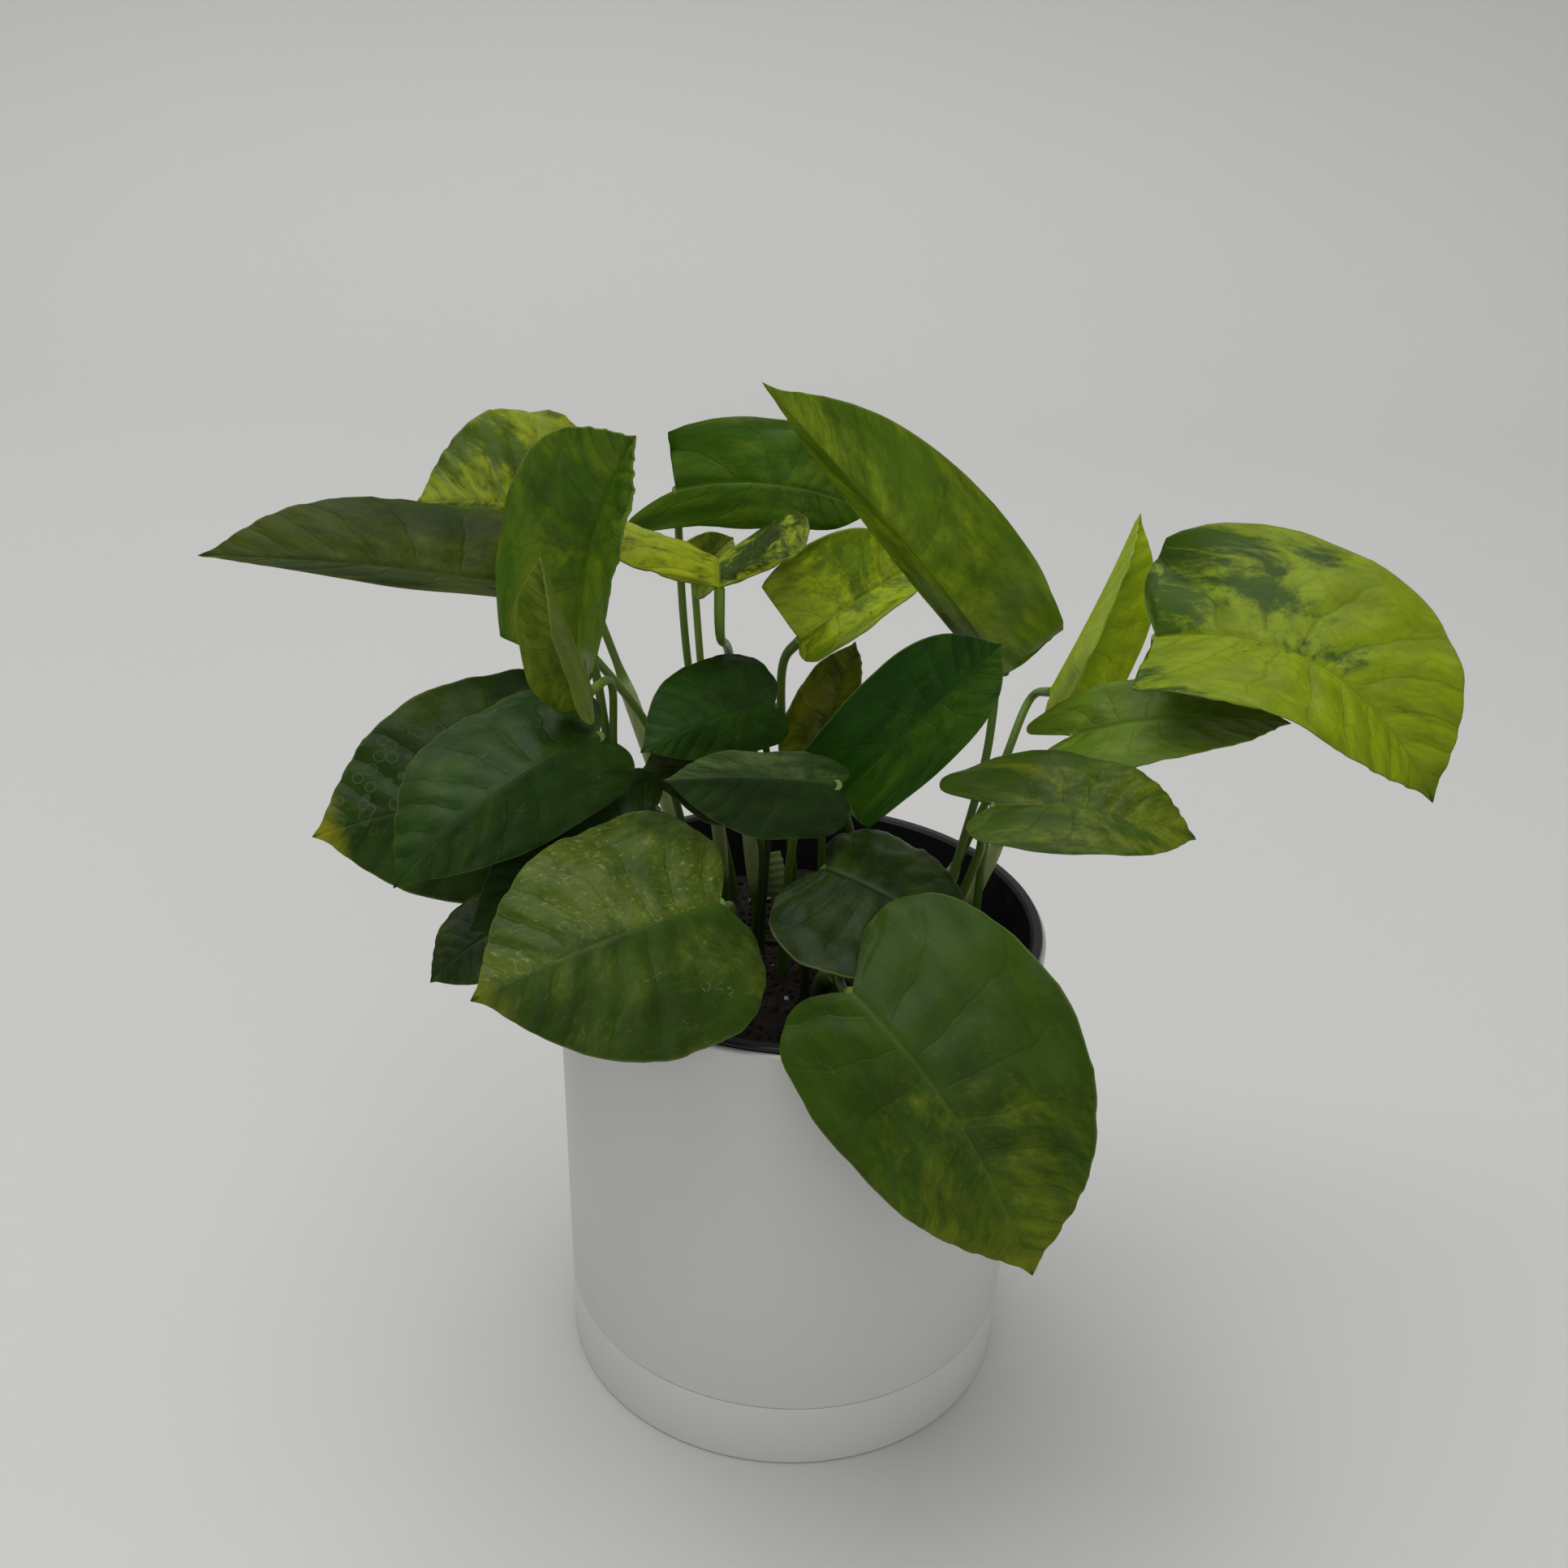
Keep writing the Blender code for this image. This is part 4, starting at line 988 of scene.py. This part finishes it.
def turned(name, profile, sides, finish, drains=None):
    """Turned piece from a (radius, height) profile, with its ring of drain holes cut."""
    vertices = []
    rings = []
    for radius, height in profile:
        if radius < 1e-9:
            rings.append([len(vertices)] * sides)
            vertices.append((0.0, 0.0, height))
            continue
        rings.append(list(range(len(vertices), len(vertices) + sides)))
        for side in range(sides):
            angle = 2 * math.pi * side / sides
            vertices.append((radius * math.cos(angle), radius * math.sin(angle), height))
    faces = []
    for lower, upper in zip(rings, rings[1:]):
        for side in range(sides):
            after = (side + 1) % sides
            corners = [lower[side], lower[after], upper[after], upper[side]]
            faces.append([corner for spot, corner in enumerate(corners)
                          if corner != corners[spot - 1]])
    mesh = bpy.data.meshes.new(name)
    mesh.from_pydata(vertices, [], faces)
    piece = show(name, mesh)
    if drains:
        drill(piece, *drains)
    piece.data.shade_smooth()
    piece.data.set_sharp_from_angle(angle=math.radians(35))
    piece.data.materials.clear()
    piece.data.materials.append(finish)
    return piece


def drill(piece, radius, circle, low, high):
    """Cuts the drain holes and leaves a plain mesh."""
    cutters = []
    for index in range(DRAIN_COUNT):
        angle = 2 * math.pi * (index + 0.5) / DRAIN_COUNT
        bpy.ops.mesh.primitive_cylinder_add(
            vertices=32, radius=radius, depth=high - low,
            location=(circle * math.cos(angle), circle * math.sin(angle), (high + low) / 2))
        cutters.append(bpy.context.object)
        cut = piece.modifiers.new(f"drain_{index}", "BOOLEAN")
        cut.operation = "DIFFERENCE"
        cut.solver = "EXACT"
        cut.object = cutters[-1]
    bpy.context.view_layer.update()
    evaluated = piece.evaluated_get(bpy.context.evaluated_depsgraph_get())
    mesh = bpy.data.meshes.new_from_object(evaluated)
    piece.modifiers.clear()
    piece.data = mesh
    for cutter in cutters:
        bpy.data.objects.remove(cutter, do_unlink=True)


def saucer_profile():
    inner = outer_radius(SAUCER_HEIGHT) - SAUCER_WALL
    ledge = inner - SAUCER_LEDGE_WIDTH
    top_centre = (outer_radius(SAUCER_HEIGHT) - SEAM_ROUND, SAUCER_HEIGHT - SEAM_ROUND)
    profile = [(0.0, 0.0)]
    profile += arc((BASE_RADIUS - FOOT_ROUND, FOOT_ROUND), FOOT_ROUND, -90, 0)
    profile += arc(top_centre, SEAM_ROUND, 0, 90, steps=3)
    profile += [(inner, SAUCER_HEIGHT), (inner, SAUCER_LEDGE_HEIGHT),
                (ledge, SAUCER_LEDGE_HEIGHT), (ledge, SAUCER_FLOOR), (0.0, SAUCER_FLOOR)]
    return profile


def planter_profile():
    skirt = outer_radius(SAUCER_HEIGHT) - SAUCER_WALL - SKIRT_CLEARANCE
    shoulder = SAUCER_HEIGHT + GAP
    floor_top = PLANTER_UNDERSIDE + PLANTER_FLOOR
    rim_centre = (outer_radius(TOTAL_HEIGHT) - RIM_ROUND, TOTAL_HEIGHT - RIM_ROUND)
    inner_centre = (planter_inner_radius(TOTAL_HEIGHT) + RIM_ROUND, TOTAL_HEIGHT - RIM_ROUND)
    seam_centre = (outer_radius(shoulder) - SEAM_ROUND, shoulder + SEAM_ROUND)
    profile = [(0.0, PLANTER_UNDERSIDE), (skirt, PLANTER_UNDERSIDE), (skirt, shoulder)]
    profile += arc(seam_centre, SEAM_ROUND, -90, 0, steps=3)
    profile += arc(rim_centre, RIM_ROUND, 0, 90)
    profile += arc(inner_centre, RIM_ROUND, 90, 180)
    profile += [(planter_inner_radius(shoulder + PLANTER_WALL), shoulder + PLANTER_WALL),
                (skirt - PLANTER_WALL, shoulder), (skirt - PLANTER_WALL, floor_top),
                (0.0, floor_top)]
    return profile


def nursery_profile():
    lip_outer = RIM_RADIUS - LIP_OVERHANG
    top_inner = NURSERY_TOP_RADIUS - NURSERY_WALL
    half = LIP_THICKNESS / 2
    profile = [(0.0, NURSERY_UNDERSIDE), (NURSERY_BASE_RADIUS, NURSERY_UNDERSIDE),
               (NURSERY_TOP_RADIUS, LIP_UNDERSIDE)]
    profile += arc((lip_outer - half, LIP_UNDERSIDE + half), half, -90, 90, steps=8)
    profile += [(top_inner + LIP_INNER_STEP, LIP_TOP), (top_inner, LIP_TOP - LIP_INNER_STEP),
                (NURSERY_BASE_RADIUS - NURSERY_WALL, NURSERY_UNDERSIDE + NURSERY_WALL),
                (0.0, NURSERY_UNDERSIDE + NURSERY_WALL)]
    return profile


# ---------------------------------------------------------------- soil

def soil_mesh(sides, rings):
    """Root ball whose top is crumbly, closed below."""
    room = NURSERY_WALL + GAP
    edge = SOIL_TOP - 2 * SOIL_BUMP
    high = nursery_radius(edge) - room
    low = nursery_radius(SOIL_UNDERSIDE) - room
    shake = random.Random(SOIL_SHAKE_SEED)
    vertices = [(0.0, 0.0, SOIL_UNDERSIDE)]
    profile = [(low, SOIL_UNDERSIDE), (high, edge)]
    profile += [(high * (rings - ring) / rings, None) for ring in range(1, rings)]
    faces = []
    for radius, height in profile:
        for side in range(sides):
            angle = 2 * math.pi * side / sides
            x, y = radius * math.cos(angle), radius * math.sin(angle)
            if height is None:
                vertices.append((x, y, soil_height(x, y) + shake.uniform(-1, 1) * SOIL_SHAKE))
            else:
                vertices.append((x, y, height))
    vertices.append((0.0, 0.0, soil_height(0.0, 0.0)))
    for side in range(sides):
        after = (side + 1) % sides
        faces.append((0, 1 + after, 1 + side))
        for ring in range(len(profile) - 1):
            start = 1 + ring * sides
            faces.append((start + side, start + after, start + sides + after,
                          start + sides + side))
        start = 1 + (len(profile) - 1) * sides
        faces.append((start + side, start + after, len(vertices) - 1))
    mesh = bpy.data.meshes.new("soil_body")
    mesh.from_pydata(vertices, [], faces)
    mesh.shade_smooth()
    return mesh


def patch_mesh(radius, steps):
    """Open sheet over the soil's top that crumbs are scattered on."""
    vertices = []
    names = {}
    faces = []
    for i in range(steps + 1):
        for j in range(steps + 1):
            x = radius * (2 * i / steps - 1)
            y = radius * (2 * j / steps - 1)
            if math.hypot(x, y) <= radius:
                names[i, j] = len(vertices)
                vertices.append((x, y, soil_height(x, y)))
    for i in range(steps):
        for j in range(steps):
            corners = [(i, j), (i + 1, j), (i + 1, j + 1), (i, j + 1)]
            if all(corner in names for corner in corners):
                faces.append([names[corner] for corner in corners])
    mesh = bpy.data.meshes.new("soil_top")
    mesh.from_pydata(vertices, [], faces)
    return mesh


def crumb_tree():
    """Lumpy bits scattered over a sheet, each turned and stretched its own way."""
    make = Shaper("Crumbs")
    make.ports(numbers=["Density", "Size", "Smallest", "Spacing"],
               vectors=["Stretch"], wholes=["Seed"])
    seed = make.port("Seed")
    points = make.node("GeometryNodeDistributePointsOnFaces", {"distribute_method": "POISSON"},
                       {"Mesh": make.port("Geometry"), "Distance Min": make.port("Spacing"),
                        "Density Max": make.port("Density"), "Seed": seed})
    ball = make.node("GeometryNodeMeshIcoSphere", None, {"Radius": 1.0, "Subdivisions": 2})
    place = make.node("GeometryNodeInputPosition")
    lump = make.noise(place, 1.3, 3.0, 0.6) - 0.5
    ball = make.node("GeometryNodeSetPosition", None,
                     {"Geometry": ball, "Offset": place * (lump * 1.3)})
    ball = make.node("GeometryNodeSetPosition", None,
                     {"Geometry": ball, "Position": place * make.port("Stretch")})
    turn = make.node("FunctionNodeRandomValue", {"data_type": "FLOAT_VECTOR"},
                     {0: (0.0, 0.0, 0.0), 1: (6.28, 6.28, 6.28), "Seed": seed})
    size = make.node("FunctionNodeRandomValue", {"data_type": "FLOAT"},
                     {2: make.port("Smallest"), 3: 1.0, "Seed": seed + 1.0}, 1)
    size = size * make.port("Size")
    bits = make.node("GeometryNodeInstanceOnPoints", None,
                     {"Points": points, "Instance": ball, "Rotation": turn,
                      "Scale": make.combine(size, size, size)})
    return make.end(bits)


# ---------------------------------------------------------------- operators

class POTHOS_OT_pot(bpy.types.Operator):
    """Saucer, planter and nursery pot"""

    bl_idname = "pothos.pot"
    bl_label = "Pot"

    def execute(self, context):
        sizes = context.scene.pothos_pot
        shell = shell_finish(tuple(sizes.shell_color))
        liner = liner_finish(tuple(sizes.liner_color))
        saucer = turned("saucer_shell", saucer_profile(), sizes.sides, shell)
        settle(saucer, "white_plastic", "saucer")
        floor_top = PLANTER_UNDERSIDE + PLANTER_FLOOR
        planter = turned("planter_shell", planter_profile(), sizes.sides, shell,
                         (DRAIN_RADIUS, DRAIN_CIRCLE, PLANTER_UNDERSIDE - DRAIN_RADIUS,
                          floor_top + DRAIN_RADIUS))
        settle(planter, "white_plastic", "planter")
        pot_floor = NURSERY_UNDERSIDE + NURSERY_WALL
        pot = turned("nursery_shell", nursery_profile(), sizes.sides, liner,
                     (NURSERY_DRAIN_RADIUS, NURSERY_DRAIN_CIRCLE,
                      NURSERY_UNDERSIDE - NURSERY_DRAIN_RADIUS,
                      pot_floor + NURSERY_DRAIN_RADIUS))
        settle(pot, "black_plastic", "nursery_pot")
        return {"FINISHED"}


class POTHOS_OT_soil(bpy.types.Operator):
    """Root ball with crumbs, bark chips, grit and dead roots"""

    bl_idname = "pothos.soil"
    bl_label = "Soil"

    def execute(self, context):
        sizes = context.scene.pothos_soil
        peat = soil_finish(tuple(sizes.color))
        body = show("soil_body", soil_mesh(SOIL_FACETS, SOIL_RINGS))
        body.data.materials.append(peat)
        settle(body, "potting_soil", "soil")
        tree = crumb_tree()
        radius = nursery_radius(SOIL_TOP) - NURSERY_WALL - CRUMB_MARGIN
        kinds = [
            ("soil_crumbs", peat, sizes.density, sizes.grain, (1.0, 0.8, 0.7), 0.0022),
            ("bark_chips", chip_finish("bark", (0.020, 0.012, 0.007), (0.075, 0.042, 0.022),
                                       0.8), 4200.0, 0.0034, (1.5, 0.8, 0.35), 0.007),
            ("grit", chip_finish("grit", (0.30, 0.29, 0.26), (0.55, 0.54, 0.50), 0.85), 2600.0,
             0.0012, (1.0, 0.9, 0.8), 0.006),
        ]
        for number, (name, finish, density, size, stretch, spacing) in enumerate(kinds):
            bits = grow(tree, patch_mesh(radius, CRUMB_SHEET_STEPS), name, {
                "Density": density, "Size": size, "Smallest": 0.35, "Spacing": spacing,
                "Stretch": stretch, "Seed": sizes.seed + number, "Material": finish})
            settle(bits, "potting_soil")
        self.roots(context)
        return {"FINISHED"}

    def roots(self, context):
        """A few dry roots and a twig that lie on the soil."""
        finish = chip_finish("dry_root", (0.16, 0.12, 0.07), (0.36, 0.30, 0.20), 0.8)
        tree = stalk_tree()
        for number, line in enumerate(ROOT_LINES, 1):
            path = [(x, y, soil_height(x * MM, y * MM) / MM + ROOT_LIFT) for x, y in line]
            path = smooth_path(path, ROOT_STEPS) * MM
            root = grow(tree, line_mesh(path), f"dry_root_{number}", {
                "Radius": 0.0005, "Foot": 0.6, "Knee": -0.4, "Knots": 0.5, "Sides": 8,
                "Material": finish})
            settle(root, "potting_soil")


class POTHOS_OT_main_stems(bpy.types.Operator):
    """Stubs of the main stems"""

    bl_idname = "pothos.main_stems"
    bl_label = "Main stems"

    def execute(self, context):
        finish = stalk_finish("main_stem", (0.060, 0.085, 0.025), (0.130, 0.190, 0.050),
                              (0.110, 0.070, 0.035))
        tree = stalk_tree()
        for name, foot, points in VINES:
            seat = soil_seat(foot)
            path = smooth_path([seat, seat + (0, 0, VINE_RISE)] + points, VINE_STEPS) * MM
            stem = grow(tree, line_mesh(path), name + "_stem", {
                "Radius": VINE_RADIUS, "Foot": 0.1, "Knee": -0.12, "Knots": 0.10, "Sides": 20,
                "Material": finish})
            settle(stem, "main_stem", name)
        return {"FINISHED"}


class POTHOS_OT_stalks(bpy.types.Operator):
    """Leaf stalks from the soil to their blades"""

    bl_idname = "pothos.stalks"
    bl_label = "Leaf stalks"

    def execute(self, context):
        fresh = stalk_finish("leaf_stalk", (0.070, 0.115, 0.018), (0.110, 0.190, 0.020),
                             (0.130, 0.080, 0.035))
        dull = stalk_finish("leaf_stalk_dull", (0.028, 0.048, 0.010), (0.045, 0.085, 0.012),
                            (0.080, 0.050, 0.025))
        tree = stalk_tree()
        for row in LEAVES:
            stalk = grow(tree, line_mesh(stalk_points(row) * MM), f"stalk_{row.name}_fine", {
                "Radius": row.radius * MM * STALK_STOUTER, "Foot": 0.35, "Knee": 0.16,
                "Knots": 0.0, "Sheath End": SHEATHED.get(row.name, 0.0),
                "Sheath Width": 0.9, "Sides": 16,
                "Material": dull if row.tint == "dark" else fresh})
            settle(stalk, "leaf_stalk", f"stalk_{row.name}")
        return {"FINISHED"}


class POTHOS_OT_leaves(bpy.types.Operator):
    """Leaf blades with their veins and colouring"""

    bl_idname = "pothos.leaves"
    bl_label = "Leaves"

    def execute(self, context):
        sizes = context.scene.pothos_leaf
        tree = blade_tree()
        for row in LEAVES:
            values = {"Arch": row.arch * MM, "Sweep": row.sweep * MM, "Swell": row.swell,
                      "Thickness": sizes.thickness, "Vein Depth": sizes.vein_depth,
                      "Vein Count": sizes.vein_count, "Seed": leaf_seed(row),
                      "Base": Vector(row.base) * MM, "Tip": Vector(row.tip) * MM,
                      "Face": Vector(row.face)}
            for place, hand in enumerate(("Left", "Right")):
                values[f"Half {hand}"] = row.half[place] * MM
                values[f"Fold {hand}"] = math.radians(row.fold[place])
                values[f"Curl {hand}"] = math.radians(row.curl[place])
                values[f"Lobe {hand}"] = float(row.lobe[place])
            values["Material"] = leaf_finish(row, LOOKS[row.name], sizes.vein_count)
            flat = flat_blade(sizes.rows, sizes.lobe_rows, sizes.columns)
            blade = grow(tree, flat, f"blade_{row.name}", values)
            settle(blade, f"leaf_{row.tint}", f"leaf_{row.name}")
        return {"FINISHED"}


class POTHOS_OT_stage(bpy.types.Operator):
    """Pale floor that runs up into a backdrop, soft lights and the camera"""

    bl_idname = "pothos.stage"
    bl_label = "Stage"

    def execute(self, context):
        sizes = context.scene.pothos_stage
        self.backdrop(tuple(sizes.floor_color))
        self.softbox("key", sizes.key_power, KEY_SIZE, KEY_PLACE, KEY_TARGET)
        self.softbox("fill", sizes.fill_power, FILL_SIZE, FILL_PLACE, FILL_TARGET)
        world = bpy.data.worlds.new("soft_room")
        world.use_nodes = True
        background = world.node_tree.nodes["Background"]
        background.inputs["Color"].default_value = ROOM_COLOR
        background.inputs["Strength"].default_value = ROOM_STRENGTH
        context.scene.world = world
        context.scene.view_settings.view_transform = "Standard"
        self.camera(context, sizes.lens)
        return {"FINISHED"}

    def backdrop(self, color):
        profile = [(-FLOOR_REACH, 0.0), (COVE_START, 0.0)]
        for step in range(1, COVE_STEPS + 1):
            angle = math.radians(90 / COVE_STEPS * step)
            profile.append((COVE_START + COVE_RADIUS * math.sin(angle),
                            COVE_RADIUS - COVE_RADIUS * math.cos(angle)))
        profile.append((COVE_START + COVE_RADIUS, WALL_TOP))
        vertices = []
        for y, z in profile:
            vertices += [(-FLOOR_REACH, y, z), (FLOOR_REACH, y, z)]
        faces = [(2 * row, 2 * row + 1, 2 * row + 3, 2 * row + 2)
                 for row in range(len(profile) - 1)]
        mesh = bpy.data.meshes.new("backdrop")
        mesh.from_pydata(vertices, [], faces)
        mesh.shade_smooth()
        floor = show("backdrop", mesh)
        make = Finish("backdrop")
        place = make.place()
        cloud = make.noise(place, 2.0, 3.0)
        grain = make.noise(place, 500.0, 3.0)
        tone = make.blend(cloud, dim(color, 0.96), color)
        floor.data.materials.append(make.done(tone, 0.55 + grain * 0.1, grain, 0.00005))

    def softbox(self, name, power, size, place, target):
        light = bpy.data.lights.new(name, "AREA")
        light.shape = "SQUARE"
        light.size = size
        light.energy = power
        lamp = bpy.data.objects.new(name, light)
        lamp.location = place
        lamp.rotation_euler = (Vector(target) - Vector(place)).to_track_quat(
            "-Z", "Y").to_euler()
        bpy.context.scene.collection.objects.link(lamp)

    def camera(self, context, lens):
        """Camera in front, a little to the right, looking down on the plant."""
        pitch = math.radians(CAMERA_PITCH)
        yaw = math.radians(CAMERA_YAW)
        roll = math.radians(CAMERA_ROLL)
        ahead = Vector((math.sin(yaw) * math.cos(pitch), math.cos(yaw) * math.cos(pitch),
                        -math.sin(pitch)))
        level = Vector((math.cos(yaw), -math.sin(yaw), 0.0))
        up = level.cross(ahead)
        right = math.cos(roll) * level + math.sin(roll) * up
        top = -math.sin(roll) * level + math.cos(roll) * up
        data = bpy.data.cameras.new("camera")
        data.sensor_width = CAMERA_SENSOR
        data.lens = lens
        data.clip_start = 0.01
        camera = bpy.data.objects.new("camera", data)
        turn = Matrix((right, top, -ahead)).transposed()
        camera.matrix_world = Matrix.Translation(CAMERA_PLACE) @ turn.to_4x4()
        context.scene.collection.objects.link(camera)
        context.scene.camera = camera


class POTHOS_PT_panel(bpy.types.Panel):
    """Sizes and colours of the potted pothos, and a button for each group of pieces"""

    bl_idname = "POTHOS_PT_panel"
    bl_label = "Potted pothos"
    bl_space_type = "VIEW_3D"
    bl_region_type = "UI"
    bl_category = "Pothos"

    def draw(self, context):
        layout = self.layout
        for title, holder, operators in (
                ("Pot", "pothos_pot", ["pothos.pot"]),
                ("Soil", "pothos_soil", ["pothos.soil"]),
                ("Plant", "pothos_leaf", ["pothos.main_stems", "pothos.stalks",
                                          "pothos.leaves"]),
                ("Stage", "pothos_stage", ["pothos.stage"])):
            box = layout.box()
            box.label(text=title)
            settings = getattr(context.scene, holder)
            for name in type(settings).__annotations__:
                box.prop(settings, name)
            for operator in operators:
                box.operator(operator)


SETTINGS = {"pothos_pot": PotSettings, "pothos_soil": SoilSettings,
            "pothos_leaf": LeafSettings, "pothos_stage": StageSettings}
OPERATORS = (POTHOS_OT_pot, POTHOS_OT_soil, POTHOS_OT_main_stems, POTHOS_OT_stalks,
             POTHOS_OT_leaves, POTHOS_OT_stage)


def register():
    for name, group in SETTINGS.items():
        bpy.utils.register_class(group)
        setattr(bpy.types.Scene, name, PointerProperty(type=group))
    for operator in OPERATORS:
        bpy.utils.register_class(operator)
    bpy.utils.register_class(POTHOS_PT_panel)


def unregister():
    bpy.utils.unregister_class(POTHOS_PT_panel)
    for operator in reversed(OPERATORS):
        bpy.utils.unregister_class(operator)
    for name, group in SETTINGS.items():
        delattr(bpy.types.Scene, name)
        bpy.utils.unregister_class(group)


def main():
    register()
    bpy.ops.pothos.pot()
    bpy.ops.pothos.soil()
    bpy.ops.pothos.main_stems()
    bpy.ops.pothos.stalks()
    bpy.ops.pothos.leaves()
    bpy.ops.pothos.stage()


if __name__ == "__main__":
    main()
